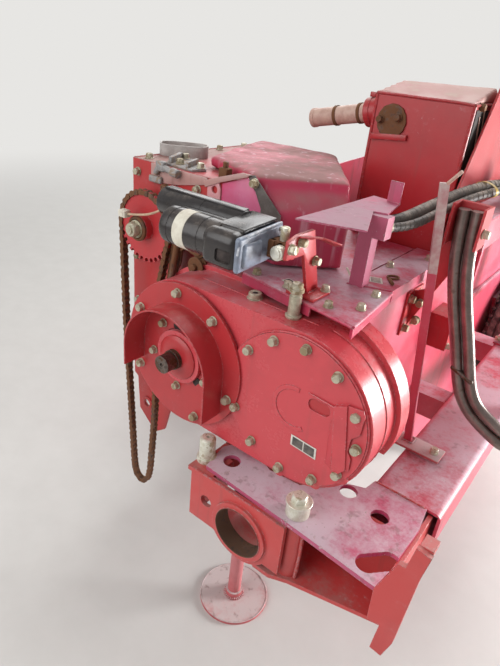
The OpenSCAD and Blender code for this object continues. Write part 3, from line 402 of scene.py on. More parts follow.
# %% [markdown]
# ## Shaping tools
#
# Everything that follows is modelled with the same few moves that a person makes in the
# viewport: add a primitive at its place, give it its size, soften its edges, copy it where it
# repeats, and join what belongs to one piece. The functions below give each move a name.

# %% Moves
def only(*pieces):
    bpy.ops.object.select_all(action="DESELECT")
    for piece in pieces:
        piece.select_set(True)
    bpy.context.view_layer.objects.active = pieces[0]


def freeze(piece):
    only(piece)
    bpy.ops.object.transform_apply(location=True, rotation=True, scale=True)
    return piece


def drop(*pieces):
    for piece in pieces:
        bpy.data.objects.remove(piece)


def modify(piece, kind, **settings):
    only(piece)
    modifier = piece.modifiers.new(kind.lower(), kind)
    for key, value in settings.items():
        setattr(modifier, key, value)
    bpy.ops.object.modifier_apply(modifier=modifier.name)
    return piece


def soften(piece, width, segments=2, angle=35):
    return modify(piece, "BEVEL", width=mm(width), segments=segments, limit_method="ANGLE",
                  angle_limit=math.radians(angle), use_clamp_overlap=True)


def cut(piece, tool, operation="DIFFERENCE"):
    modify(piece, "BOOLEAN", operation=operation, solver="EXACT", object=tool)
    drop(tool)
    return piece


def edit(piece, *moves):
    # moves: pairs of an operator of edit mode and its settings, each on the whole mesh
    only(piece)
    bpy.ops.object.mode_set(mode="EDIT")
    for move, settings in moves:
        bpy.ops.mesh.select_all(action="SELECT")
        move(**settings)
    bpy.ops.object.mode_set(mode="OBJECT")
    return piece


def join(pieces):
    only(*pieces)
    if len(pieces) > 1:
        bpy.ops.object.join()
    return bpy.context.view_layer.objects.active


def coat(piece, finish):
    piece.data.materials.clear()
    piece.data.materials.append(finish)
    return piece


def settle(piece, name, body="frame", smooth=32):
    freeze(piece)
    bpy.ops.object.shade_smooth_by_angle(angle=math.radians(smooth))
    piece.name = name
    piece.data.name = name
    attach(piece, body)
    return piece


def whole(name, pieces, finish, body="frame", smooth=32):
    return settle(coat(join(pieces), finish), name, body, smooth)


print("moves ready")

# %% [markdown]
# A few forms cover most of the machine: a round bar between two points, a block between two
# corners, a plate cut from an outline, a tube bent along a line and a turned ring. Each one is
# given in the drawing's millimetres.

# %% Forms
FRONT = (0, -1, 0)
LEFT = (1, 0, 0)
UP = (0, 0, 1)


def rod(start, end, radius, sides=24, soft=0.0, end_radius=None):
    a, b = at(*start), at(*end)
    place = {"vertices": sides, "depth": (b - a).length, "location": (a + b) / 2,
             "rotation": (b - a).to_track_quat("Z", "Y").to_euler()}
    if end_radius is None:
        bpy.ops.mesh.primitive_cylinder_add(radius=mm(radius), **place)
    else:
        bpy.ops.mesh.primitive_cone_add(radius1=mm(radius), radius2=mm(end_radius), **place)
    piece = freeze(bpy.context.object)
    return soften(piece, soft) if soft else piece


def block(low, high, soft=1.0, segments=2):
    a, b = at(*low), at(*high)
    bpy.ops.mesh.primitive_cube_add(size=1, location=(a + b) / 2)
    piece = bpy.context.object
    piece.scale = b - a
    freeze(piece)
    return soften(piece, soft, segments) if soft else piece


def solid(low, high):
    # low and high: four corners each, both in the same order round the solid
    bpy.ops.mesh.primitive_cube_add(size=1)
    piece = bpy.context.object
    order = [(-1, -1), (1, -1), (1, 1), (-1, 1)]
    for vertex in piece.data.vertices:
        side, front, top = (1 if c > 0 else -1 for c in vertex.co)
        vertex.co = at(*(high if top > 0 else low)[order.index((side, front))])
    return piece


def outline_mesh(places, fill="NGON"):
    # places: the corners in order, already in the frame's metres
    bpy.ops.mesh.primitive_circle_add(vertices=len(places), fill_type=fill)
    piece = bpy.context.object
    for vertex, place in zip(piece.data.vertices, places):
        vertex.co = place
    return piece


def plate(corners, thickness, soft=0.6):
    piece = outline_mesh([at(*corner) for corner in corners])
    modify(piece, "SOLIDIFY", thickness=mm(thickness), offset=0)
    return soften(piece, soft) if soft else piece


def prism(outline, low, high):
    # outline: corners (x, y) in mm, counter-clockwise seen from above
    return plate([(x, y, (low + high) / 2) for x, y in outline], high - low, 0)


def bent(name, kind, points):
    # A curve object through points, and its one spline
    curve = bpy.data.curves.new(name, "CURVE")
    curve.dimensions = "3D"
    curve.use_fill_caps = True
    spline = curve.splines.new(kind)
    knots = spline.bezier_points if kind == "BEZIER" else spline.points
    knots.add(len(points) - 1)
    piece = bpy.data.objects.new(name, curve)
    bpy.context.collection.objects.link(piece)
    return piece, spline


def tube(points, radius, sides=20):
    piece, spline = bent("bent_tube", "NURBS", points)
    for spot, point in zip(spline.points, points):
        spot.co = (*at(*point), 1)
    spline.order_u = 4
    spline.use_endpoint_u = True
    piece.data.resolution_u = 6
    piece.data.bevel_depth = mm(radius)
    piece.data.bevel_resolution = sides // 4 - 1
    only(piece)
    bpy.ops.object.convert(target="MESH")
    return bpy.context.object


def turned(profile, centre, axis, sides=48):
    # profile: closed list of (radius, along) in mm round the axis through centre
    corners = [Vector((mm(max(radius, 0.05)), 0, mm(along))) for radius, along in profile]
    piece = outline_mesh(corners, "NOTHING")
    edit(piece,
         (bpy.ops.mesh.spin, {"steps": sides, "angle": math.tau, "center": (0, 0, 0), "axis": UP}),
         (bpy.ops.mesh.remove_doubles, {"threshold": 0.00002}),
         (bpy.ops.mesh.normals_make_consistent, {"inside": False}))
    turn = Vector(axis).to_track_quat("Z", "Y").to_matrix().to_4x4()
    piece.matrix_world = Matrix.Translation(at(*centre)) @ turn
    return freeze(piece)


def copies(model, spots):
    # spots: list of (place in mm, direction, turn about it in degrees)
    made = []
    for place, direction, spin in spots:
        only(model)
        bpy.ops.object.duplicate()
        copy = bpy.context.object
        aim = Vector(direction).to_track_quat("Z", "Y").to_matrix().to_4x4()
        copy.matrix_world = Matrix.Translation(at(*place)) @ aim @ Matrix.Rotation(math.radians(spin), 4, "Z")
        made.append(freeze(copy))
    return join(made)


def on_circle(x, z, radius, degrees, y):
    return (x + radius * math.cos(math.radians(degrees)), y, z + radius * math.sin(math.radians(degrees)))


def on_side(x, y, z, radius, degrees):
    return (x, y + radius * math.cos(math.radians(degrees)), z + radius * math.sin(math.radians(degrees)))


print("forms ready")

# %% [markdown]
# A hexagon bolt is the small thing that gives a machine its scale. It is modelled once: a
# washer, a six-sided head with its corners turned down, and on longer bolts the thread's end.
# Its model stands at the frame's origin with its seat at height zero, so that a copy only
# needs a place and a direction.

# %% The bolt


def stub(sides, radius, low, height, top=None):
    # A round piece that stands over the frame's origin; top: the radius of a cone's upper end
    place = {"vertices": sides, "depth": mm(height), "location": (0, 0, mm(low + height / 2))}
    if top is None:
        bpy.ops.mesh.primitive_cylinder_add(radius=mm(radius), **place)
    else:
        bpy.ops.mesh.primitive_cone_add(radius1=mm(radius), radius2=mm(top), **place)
    return freeze(bpy.context.object)


def bolt_model(across, head=0.65, washer=1.35, washer_t=2.5, stud=0.0):
    radius = across / 2 / math.cos(math.pi / 6)
    height = across * head
    seat = washer_t if washer else 0
    parts = [soften(stub(28, across * washer / 2, 0, washer_t), 0.5, 1)] if washer else []
    hexagon = stub(6, radius, seat, height)
    parts.append(cut(hexagon, stub(36, radius * 1.32, seat, height, radius * 0.80), "INTERSECT"))
    if stud:
        parts.append(soften(stub(20, radius * 0.5, seat + height, stud), 0.8, 1))
    model = join(parts)
    model.name = "bolt_model"
    return model


def bolted(name, model, spots, finish=zinc):
    return settle(coat(copies(model, spots), finish), name)


small_bolt = bolt_model(17)
cover_bolt = bolt_model(19, washer=1.25)
large_bolt = bolt_model(24, stud=6)
print("bolt faces:", len(cover_bolt.data.polygons))

# %% [markdown]
# A weld bead is a row of overlapping round drops. A bead follows a line of points, with a
# slightly uneven width, and it sinks halfway into the steel on both sides.

# %% The weld bead


def weld(points, radius=4.0, pitch=3.2):
    line = [at(*p) for p in points]
    drops = []
    for a, b in zip(line, line[1:]):
        count = max(1, round((b - a).length / mm(pitch)))
        drops += [a.lerp(b, k / count) for k in range(count)]
    bead = bpy.data.meshes.new("weld_bead")
    shape = bmesh.new()
    for k, spot in enumerate(drops):
        ahead = drops[min(k + 1, len(drops) - 1)] - drops[max(k - 1, 0)]
        aim = ahead.to_track_quat("Z", "Y").to_matrix().to_4x4()
        wide = mm(radius) * random.uniform(0.85, 1.12)
        drop_size = Matrix.Diagonal((wide, wide, mm(pitch) * 0.8, 1))
        bmesh.ops.create_icosphere(shape, subdivisions=1, radius=1,
                                   matrix=Matrix.Translation(spot) @ aim @ drop_size)
    shape.to_mesh(bead)
    shape.free()
    piece = bpy.data.objects.new("weld_bead", bead)
    bpy.context.collection.objects.link(piece)
    return piece


print("weld bead ready")

# %% [markdown]
# ## The gear case
#
# The round cover is held by eleven bolts. On it lie a thin pressed patch with a folded edge,
# beside the oblong pocket, and one small blank plate in a pale frame. The patch is a sheet
# whose left side is folded down to the cover.

# %% Bolts and patch on the cover
COVER_X, COVER_Z = 329, 754
COVER_FACE, BOLT_CIRCLE = -8, 163
POCKET_X, POCKET_Z, POCKET_R = 393, 797, 14.6
cover_spots = [(on_circle(COVER_X, COVER_Z, BOLT_CIRCLE, a, COVER_FACE), FRONT, 17 * k)
               for k, a in enumerate([142, 114, 85, 55, 24, -3, -35, -61, -93, -125, -157])]
bolted("cover_bolts", cover_bolt, cover_spots)
patch = plate([(432, -12, 817), (458, -13, 838), (490, -12, 841), (496, -12, 830), (494, -12, 783),
               (478, -12, 765), (476, -12, 732), (486, -12, 718), (487, -12, 686), (447, -12, 668)], 3, 0.8)
fold = plate([(432, -12, 817), (447, -12, 668), (432, -9, 672), (425, -9, 752), (427, -9, 806)], 2)
ridge = tube([(364, -9, 821), (400, -10, 819), (433, -12, 817)], 2, 10)
whole("cover_patch", [patch, fold, ridge], case_red)
# A sheet of the darker guard paint on the pocket's floor paints the shade in the recess
pocket = plate([on_circle(x, POCKET_Z, POCKET_R, a, -4.5)
                for x, first in ((POCKET_X + 12, -90), (POCKET_X - 12, 90))
                for a in range(first, first + 181, 20)], 0.6, 0)
whole("cover_pocket_shade", [pocket], guard_red)
print("cover bolts:", len(cover_spots))

# %% [markdown]
# The plate on the cover is left blank: two dark fields in a pale frame, which is what such a
# plate looks like from a step away. The table carries two more of them.

# %% Blank plates
PLATE_TOP = 980.6


def blank_plate(name, corners, inward, lift):
    # corners: four, in order; inward: how far the dark fields stay from the rim, as a share
    a, b, c, d = [Vector(p) for p in corners]
    parts = [coat(plate([a, b, c, d], 0.8, 0.2), plate_white)]
    low, high = inward * 1.6, 1 - inward * 1.6
    for start, end in ((inward, 0.5 - inward / 3), (0.5 + inward / 3, 1 - inward)):
        field = [a.lerp(b, s).lerp(d.lerp(c, s), t) + Vector(lift)
                 for s, t in ((start, low), (end, low), (end, high), (start, high))]
        parts.append(coat(plate(field, 0.5, 0), plate_black))
    return settle(join(parts), name)


blank_plate("cover_plate", [(339, -9, 698), (405, -9, 694), (407, -9, 665), (340, -9, 670)], 0.07,
            (0, -0.6, 0))
for name, outline in (("table_plate_rear", [(300, 268), (352, 292), (334, 324), (282, 298)]),
                      ("table_plate_front", [(180, 118), (232, 104), (238, 126), (186, 140)])):
    blank_plate(name, [(x, y, PLATE_TOP) for x, y in outline], 0.08, (0, 0, 0.6))
print("blank plates done")

# %% [markdown]
# The flange under the cover has a wavy foot where five of the bolts have their own boss. A thin
# raised rim runs round the cover, and the two halves of the case meet in a seam.

# %% Rim, seam and bosses
rim = turned([(181.5, 0), (184.5, 0), (184.5, 5), (181.5, 6)], (COVER_X, 0, COVER_Z), FRONT, 96)
bosses = [rod(on_circle(COVER_X, COVER_Z, 176, a, 0.5), on_circle(COVER_X, COVER_Z, 176, a, -7.5), 15, 24, 1)
          for a in (-61, -93, -125, -157, -35)]
seam_tab = block((60, 44, 943), (63, 46, 944.6), 0.4)
seam_band = plate([(0, 51, 944.3), (329, 51, 944.3), (329, 55, 944.3), (0, 55, 944.3)], 1.6, 0.5)
whole("case_rim", [rim, seam_band, seam_tab, *bosses], case_red)
case_weld = weld([on_circle(COVER_X, COVER_Z, 190.5, a, 60) for a in range(80, -92, -6)], 2.2, 3.5)
whole("case_seam", [case_weld], case_red)
print("case trim done")

# %% [markdown]
# The drive guard is bolted to the case round the drive stub. Inside it a dished flange closes
# the bearing, with its own bolts and three oblong slots painted as black shade, and the stub's
# root is a dark cone.

# %% Guard and drive stub
guard_spots = [(on_circle(0, COVER_Z, 165, a, -14), FRONT, 11 * k)
               for k, a in enumerate((96, 54, -19, -150, 150, -70))]
inner_spots = [(on_circle(0, COVER_Z, r, a, -14.2), FRONT, 20 * k)
               for k, (r, a) in enumerate(((92, 132), (96, -167), (92, -24), (92, 52), (92, -96)))]
bolted("guard_bolts", cover_bolt, guard_spots)
bolted("flange_bolts", small_bolt, inner_spots)
SLOT_OUTLINE = ((76, -11), (84, -9), (84, 9), (76, 11), (70, 9), (70, -9))
# Black plates on the flange paint the shade inside the three slots
slots = [plate([on_circle(0, COVER_Z, r, middle + a, -14.6) for r, a in SLOT_OUTLINE], 1.0, 0.3)
         for middle in (100, -42, 20)]
whole("flange_slot_shade", slots, shadow_black)
cap = turned([(36, 0), (58, 0), (58, 3), (50, 8), (38, 10), (25, 10), (25, 0)], (0, -26.2, COVER_Z), FRONT)
whole("bearing_cap", [cap], guard_red)
root = rod((0, -26.8, COVER_Z), (0, -40, COVER_Z), 27, 40, 1, end_radius=23.4)
ring = turned([(23, 0), (25.5, 0), (25.5, 4), (23, 4)], (0, -44, COVER_Z), FRONT, 40)
whole("stub_root", [root, ring], dark_steel, "drive_shaft")
guard_lip = weld([on_circle(0, COVER_Z, 136, a, -13.5) for a in range(2, 180, 5)], 2.4, 3.6)
whole("guard_weld", [guard_lip], guard_red)
print("guard bolts:", len(guard_spots) + len(inner_spots))

# %% [markdown]
# ## The roller chain
#
# A roller chain is two kinds of link in turn. An inner link is two plates and two rollers; an
# outer link is two plates on two pins. Each plate has a narrow waist. Dirt and old grease
# fill the gaps between the rollers. Both links are modelled once on the straight and then set
# along the slack loop. The loop itself is worked out as in the drawing: an arc on the
# sprocket, two hanging strands and a tight bend at the foot.

# %% The loop of the chain
PITCH = 19.05
TEETH = 30
SPROCKET_X, SPROCKET_Z, CHAIN_Y = -256, 996, 100
SPROCKET_R = PITCH / (2 * math.sin(math.pi / TEETH))
TOOTH = 360 / TEETH
ARC_LINKS = round(192 / TOOTH)
BEND_R = 36
CASE_SIDE_X = -204


def arc(cx, cz, radius, start, end, steps):
    spots = [on_circle(cx, cz, radius, start + (end - start) * k / steps, 0) for k in range(steps + 1)]
    return [(x, z) for x, y, z in spots]


def strand(a, b, steps):
    return [(a[0] + (b[0] - a[0]) * k / steps, a[1] + (b[1] - a[1]) * k / steps) for k in range(1, steps + 1)]


left_top = (SPROCKET_X - SPROCKET_R, SPROCKET_Z)
left_mid = (SPROCKET_X - SPROCKET_R + 8, 694)
bend_x, bend_z = SPROCKET_X - 14, 80 + BEND_R
right_low = (CASE_SIDE_X - 6, 414)
right_mid = (CASE_SIDE_X, 824)
on_sprocket = arc(SPROCKET_X, SPROCKET_Z, SPROCKET_R, 180 - ARC_LINKS * TOOTH, 180, ARC_LINKS)
loop = (on_sprocket + strand(left_top, left_mid, 16) + strand(left_mid, (bend_x - BEND_R, bend_z), 30)
        + arc(bend_x, bend_z, BEND_R, 190, 350, 6) + strand((bend_x + BEND_R, bend_z), right_low, 15)
        + strand(right_low, right_mid, 22) + strand(right_mid, on_sprocket[0], 8)[:-1])
for step in range(8):
    eased = list(loop)
    for k in range(ARC_LINKS + 1, len(loop)):
        (xa, za), (xb, zb), (xc, zc) = loop[k - 1], loop[k], loop[(k + 1) % len(loop)]
        eased[k] = ((xa + 2 * xb + xc) / 4, (za + 2 * zb + zc) / 4)
    loop = eased
print("links:", len(loop))

# %% The two links
WAIST = 0.66


def link_plate(y, thickness, height):
    # The outline has a round end at each pin and a waist between them
    ends = [(PITCH / 2 + height * math.cos(a), height * math.sin(a))
            for a in [math.radians(d) for d in (-75, -45, -15, 15, 45, 75)]]
    corners = [*ends, (0, height * WAIST), *[(-x, z) for x, z in reversed(ends)], (0, -height * WAIST)]
    piece = outline_mesh([Vector((mm(x), mm(y), mm(z))) for x, z in corners])
    return modify(piece, "SOLIDIFY", thickness=mm(thickness), offset=0)


def link_round(x, half, radius, sides):
    bpy.ops.mesh.primitive_cylinder_add(vertices=sides, radius=mm(radius), depth=mm(2 * half),
                                        location=(mm(x), 0, 0), rotation=(math.pi / 2, 0, 0))
    return freeze(bpy.context.object)


def link_model(plate_y, thickness, height, half, radius, sides):
    return join([*[link_plate(y, thickness, height) for y in (-plate_y, plate_y)],
                 *[link_round(x, half, radius, sides) for x in (-PITCH / 2, PITCH / 2)]])


inner_link = link_model(6.8, 1.8, 8.2, 5.8, 5.9, 12)
outer_link = link_model(8.8, 1.6, 7.8, 10, 2.9, 10)
print("faces per pair of links:", len(inner_link.data.polygons) + len(outer_link.data.polygons))

# %% The chain set along its loop
links = []
for k, (x0, z0) in enumerate(loop):
    x1, z1 = loop[(k + 1) % len(loop)]
    only(inner_link if k % 2 else outer_link)
    bpy.ops.object.duplicate()
    link = bpy.context.object
    lean = Matrix.Rotation(-math.atan2(z1 - z0, x1 - x0), 4, "Y")
    link.matrix_world = Matrix.Translation(at((x0 + x1) / 2, CHAIN_Y, (z0 + z1) / 2)) @ lean
    links.append(link)
caked = coat(tube([(x, CHAIN_Y, z) for x, z in loop + loop[:1]], 4.6, 8), dirt_brown)
chain = settle(join([coat(join(links), rusty_steel), caked]), "roller_chain", smooth=40)
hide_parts("drive_chain")
drop(inner_link, outer_link)
print("chain faces:", len(chain.data.polygons))

# %% [markdown]
# The sprocket's hub carries a zinc nut in a rusty ring with a rolled edge. The tensioner behind
# the chain is a rough bar with an arm and a small roller, all brown with dust.

# %% Sprocket hub and tensioner
hub = turned([(22, 0), (33, 0), (33, 5), (30, 8), (26, 8), (24, 4), (22, 4)],
             (SPROCKET_X, CHAIN_Y - 26, SPROCKET_Z), FRONT, 40)
coat(hub, rusty_steel)
hub_nut = bolt_model(36, head=0.55, washer=1.3, stud=5)
coat(hub_nut, zinc)
nut = copies(hub_nut, [((SPROCKET_X, CHAIN_Y - 32, SPROCKET_Z), FRONT, 12)])
drop(hub_nut)
settle(join([hub, nut]), "sprocket_hub")
idler = turned([(9, -9), (24, -9), (26, -7), (19, -3), (19, 3), (26, 7), (24, 9), (9, 9)],
               (-66, CHAIN_Y + 2, 941), FRONT, 36)
bracket = plate([(-92, 116, 1004), (-60, 116, 1004), (-44, 116, 930), (-62, 116, 916), (-84, 116, 924)],
                6, 1.2)
axle = rod((-66, 84, 941), (-66, 120, 941), 8, 20, 1)
pin = rod((-128, 92, 990), (-150, 92, 868), 8, 16, 1)
strut = plate([(-158, 108, 1000), (-120, 108, 1004), (-128, 108, 930), (-160, 108, 862), (-178, 108, 866)],
              7, 1.2)
whole("tensioner_arm", [idler, bracket, axle, pin, strut], rusty_steel)
print("chain side done")

# %% [markdown]
# ## The hitch
#
# Under the pink plate, beads of weld join the sleeve, the box and the end plate. The bore is
# brown inside, where the drawbar's pin has rubbed. The bolt over the sleeve stands on a bush
# and a wide washer.

# %% Welds of the hitch
PLATE_Z, BOX_TOP = 520, 508
SEAM_Z = BOX_TOP - 1
BORE = (279, -90, 409)
beads = [weld([(118, -78, SEAM_Z), (230, -78, SEAM_Z), (398, -80, SEAM_Z)], 3.4, 3.4),
         weld([(429, -46, 340), (430, -44, 420), (429, -46, 500)], 5.5, 6),
         weld([(641, -86, 442), (642, -84, 500), (632, -80, 516)], 4, 3.4),
         weld([(490, 189, PLATE_Z - 2), (560, 189, PLATE_Z + 1), (620, 189, PLATE_Z - 1)], 4, 3.4)]
whole("hitch_welds", beads, hitch_red)
lip = turned([(66, 0), (68.5, 0), (69, 0.6), (68.4, 1.6), (67, 1.6), (66, 1)], BORE, FRONT, 72)
liner = turned([(65.2, -44), (66.6, -44), (66.6, 3), (65.2, 2)], BORE, FRONT, 72)
settle(join([coat(lip, hitch_red), coat(liner, dirt_brown)]), "bore_lip")
print("hitch welds done")

# %% The sleeve's bolt and the plain pin
SLEEVE = (400, -34)
bush = turned([(15.5, 0), (27, 0), (28, 1.5), (28, 31), (26.5, 33.5), (15.5, 33.5)], (*SLEEVE, PLATE_Z), UP)
washer = turned([(10, 0), (30.5, 0), (31, 1), (31, 4), (30, 5), (10, 5)], (*SLEEVE, PLATE_Z + 34), UP)
head_model = bolt_model(33, head=0.5, washer=0)
head = copies(head_model, [((*SLEEVE, PLATE_Z + 39.2), UP, 12)])
drop(head_model)
plain = turned([(4, 62), (4, 70), (14, 70), (19, 67), (20.5, 64), (20.5, 14), (25, 12), (26, 9), (26, 0),
                (1, 0), (1, 62)], (121, -32, BOX_TOP), UP, 40)
pins = whole("hitch_pin_set", [bush, washer, head, plain], bright_zinc, smooth=28)
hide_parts("hitch_pins")
print("pin set faces:", len(pins.data.polygons))

# %% [markdown]
# The filler post stands on the case beside the drive. It is a turned stem with a collar, a
# groove and a knob, and the plug beside it has a six-sided socket.

# %% Filler post and plug
CASE_TOP = 944
POST_PROFILE = [(1, 0), (17, 0), (18, 2), (18, 6), (13.5, 8), (13.5, 50), (11.5, 52), (11.5, 56), (14.5, 58),
                (16, 60), (16, 66), (13, 69), (12.5, 77), (10, 79), (1, 79)]
post = coat(turned(POST_PROFILE, (269, 43, CASE_TOP), UP, 40), zinc)
PLUG_PROFILE = [(7, 4), (7, 13), (9, 14), (14, 14), (15.5, 12), (16, 2), (19, 1), (19, 0), (1, 0), (1, 4)]
plug = coat(turned(PLUG_PROFILE, (154, 58, CASE_TOP), UP, 36), zinc)
# The black hexagon paints the shade inside the plug's socket
socket = coat(rod((154, 58, CASE_TOP + 5), (154, 58, CASE_TOP + 12.6), 7.2, 6), shadow_black)
fittings = settle(join([post, plug, socket]), "case_fitting_set", smooth=30)
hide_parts("case_fittings")
print("fittings done")

# %% [markdown]
# ## The stand
#
# The foot is a round plate with a worn rim, and its tube is welded on with one thick bead. The
# foot slides with its tube, so all of this rides on the stand.

# %% Foot and tube
POST_X, POST_Y = 211, 30
foot_bead = weld([(POST_X + 26 * math.cos(a), POST_Y + 26 * math.sin(a), 10)
                  for a in [math.radians(d) for d in range(0, 361, 12)]], 5, 3.8)
foot_rim = turned([(97, 0.2), (99.8, 0.2), (99.8, 8.4), (98, 9.2), (95.5, 8.4)], (POST_X, POST_Y, 0), UP, 72)
whole("foot_trim", [foot_bead, foot_rim], foot_pink, body="stand")
collar = turned([(19.2, 0), (23, 0), (24, 2), (24, 14), (23, 16), (19.2, 16)], (POST_X, POST_Y, 300), UP, 36)
whole("stand_collar", [collar], foot_pink, body="stand")
print("stand trim done")

# %% [markdown]
# ## The actuator
#
# Two barrels lie side by side over the case: a thick motor with a cream tape round it, and a
# thinner tube behind and above it. A casting joins their right ends; its outer face is
# blue-grey, its rounded edge carries a pale band that is a painted highlight and rubbed paint,
# and a rusty clevis stands out of it.

# %% Barrels
MOTOR_Y, MOTOR_Z, MOTOR_R = -54, 1096, 40.4
GROOVES = (24, 108)
MOTOR_PROFILE = [(1, 0), (33, 0), (37.5, 2), (39.8, 6), (MOTOR_R, 12)]
for g in GROOVES:
    MOTOR_PROFILE += [(MOTOR_R, g), (39.4, g + 1), (39.4, g + 5), (MOTOR_R, g + 6)]
motor = turned([*MOTOR_PROFILE, (MOTOR_R, 150), (1, 150)], (-6, MOTOR_Y, MOTOR_Z), LEFT, 64)
tape = turned([(MOTOR_R, 0), (41, 0.2), (41, 30), (MOTOR_R, 30.2)], (36, MOTOR_Y, MOTOR_Z), LEFT, 64)
spindle = turned([(1, 0), (25, 0), (30, 2), (32, 6), (32, 130), (31, 131), (31, 134), (32, 135), (32, 240),
                  (1, 240)], (-98, 18, 1115), LEFT)
strips = [block((0, -38, 1098), (130, -2, 1128), 4, 3), block((2, -32, 1126), (134, -16, 1132), 1.5),
          block((-90, 8, 1144), (136, 30, 1149), 1.2)]
barrels = [coat(join([motor, spindle, *strips]), motor_black), coat(tape, tape_cream)]
print("barrels ready")

# %% The casting at the right end


def wedge(x0, x1, front_y, front, rear_y, rear):
    # A solid from x0 to x1; front and rear: its lower and upper height there
    return solid(*[[(x0, front_y, z0), (x1, front_y, z0), (x1, rear_y, z1), (x0, rear_y, z1)]
                   for z0, z1 in zip(front, rear)])


casting = soften(wedge(116, 206, -98, (1054, 1130), 50, (1066, 1140)), 20, 6)
lid = soften(wedge(132, 200, -66, (1124, 1136), 46, (1132, 1143)), 4, 3)
end_cap = soften(wedge(201, 215, -95, (1057, 1128), 47, (1068, 1138)), 6.5, 4)
step = block((208, -84, 1066), (220, -26, 1116), 6, 3)
RIM_LINE = ((-95.5, 1096), (-93, 1118), (-80, 1128), (-20, 1132), (42, 1137))
# The pale band along the cap's edge: a painted highlight, partly rubbed paint
rim = tube([(212, y, z) for y, z in RIM_LINE], 2.2, 10)
cut(coat(casting, motor_black), block((158, -106, 1072), (196, -90, 1098), 6, 3))
# A black block at the back of the notch paints the shade inside it
slot_shade = block((160, -94, 1074), (194, -89.6, 1096), 1)
cap_screws = [rod((213, 36, z), (218, 36, z), 4.5, 16, 0.8) for z in (1126, 1078)]
gear_head = [casting, coat(lid, motor_black), coat(join([end_cap, step]), cap_grey), coat(rim, cap_edge),
             coat(slot_shade, shadow_black), coat(join(cap_screws), zinc)]
print("casting ready")

# %% Clevis, eye and pin
CLEVIS_X, CLEVIS_Z = 246, 1093
prongs = []
for y in (2, 26):
    prongs.append(rod((CLEVIS_X, y, CLEVIS_Z), (CLEVIS_X, y + 10, CLEVIS_Z), 19, 32, 1.2))
    prongs.append(block((214, y, CLEVIS_Z - 18), (CLEVIS_X, y + 10, CLEVIS_Z + 18), 1.2))
saddle = block((211, -4, CLEVIS_Z - 18), (228, 42, CLEVIS_Z + 18), 3, 3)
PIN_STEPS = ((-12, 46, 9, 24, 1), (-18, 0, 15, 28, 2), (-21, -17, 11, 24, 1))
clevis_pin = [rod((CLEVIS_X, y0, CLEVIS_Z), (CLEVIS_X, y1, CLEVIS_Z), radius, sides, soft)
              for y0, y1, radius, sides, soft in PIN_STEPS]
upright_pin = rod((238, 19, 1104), (238, 19, 1138), 9.5, 20, 1.5)
eye = turned([(6.2, -8), (11, -8), (11.5, -7), (11.5, 7), (11, 8), (6.2, 8)], (-203, 117, 1106),
             (0.27, 0.96, 0), 32)
eye_neck = rod((-196, 109, 1107), (-92, 26, 1113), 9, 24, 1)
ends = [coat(join([*prongs, saddle, eye, eye_neck]), rusty_steel),
        coat(join([*clevis_pin, upright_pin]), bright_zinc)]
actuator = settle(join([*barrels, *gear_head, *ends]), "actuator_set", smooth=38)
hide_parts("actuator")
print("actuator faces:", len(actuator.data.polygons))

# %% [markdown]
# The lever that the actuator turns is an upright plate on a foot, with a tongue between the
# prongs of the clevis.

# %% The lever
lever_foot = block((228, 66, 980.2), (298, 136, 988))
lever_side = plate([(266, y, z) for y, z in ((84, 988), (130, 988), (80, 1130), (20, 1130), (-12, 1122),
                                             (-16, 1084), (50, 1082))], 8, 1)
tongue = block((232, 13, 1077), (263, 25, 1109))
lever = whole("lever_plates", [lever_foot, lever_side, tongue], guard_red)
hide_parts("lever_bracket")
print("lever faces:", len(lever.data.polygons))

# %% [markdown]
# A thin cream lead leaves the left end between the barrels and crosses in front of the chain
# to a small white connector. The connector is a hollow shell with a clip on its side.

# %% Connector
shell = cut(block((-306, 49.5, 1020.5), (-280.5, 70.5, 1039.5), 2), block((-312, 53, 1024), (-290, 67, 1036)))
clip = plate([(-304, 49.2, 1026), (-286, 49.2, 1027), (-286, 49.2, 1033), (-304, 49.2, 1034)], 1.2, 0.3)
contacts = block((-298, 58, 1027), (-291, 62, 1033), 0.5)
connector = settle(join([coat(join([shell, clip]), plug_white), coat(contacts, rusty_steel)]), "lead_plug")
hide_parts("lead_connector")
print("connector done")

# %% The lead
LEAD_D = 0.006
LEAD_ROUTE = [at(*spot) for spot in [(-70.38, 8.23, 1096), (-81.94, 11.46, 1096), (-112, 26, 1090),
                                     (-150, 45, 1072), (-200, 58, 1050), (-250, 62, 1036), (-280, 60, 1031)]]
lead, spline = bent("motor_lead", "BEZIER", LEAD_ROUTE)
for knot, spot in zip(spline.bezier_points, LEAD_ROUTE):
    knot.co = spot
    knot.handle_left_type = knot.handle_right_type = "AUTO"
lead.data.resolution_u = 12
lead.data.bevel_depth = LEAD_D / 2
lead.data.bevel_resolution = 4
lead.data.materials.append(lead_cream)
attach(lead, "frame")
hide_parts("actuator_lead")

# %% [markdown]
# ## The hood, the box and the table
#
# The hood is a folded sheet that lies askew over the box and the table. Years of knocks have
# rounded its folds and dented its faces. It is joined from three simple solids, remeshed to an
# even skin and pressed in by a soft cloud pattern.

# %% The hood
HOOD_TOP, HOOD_FOOT = 1186.5, 981


def dented(piece, voxel, size, depth, easing=3):
    modify(piece, "REMESH", mode="VOXEL", voxel_size=mm(voxel), use_smooth_shade=True)
    modify(piece, "SMOOTH", factor=0.5, iterations=easing)
    cloud = bpy.data.textures.new("dents", "CLOUDS")
    cloud.noise_scale = mm(size)
    modify(piece, "DISPLACE", texture=cloud, strength=mm(depth), mid_level=0.6, texture_coords="LOCAL")
    return piece


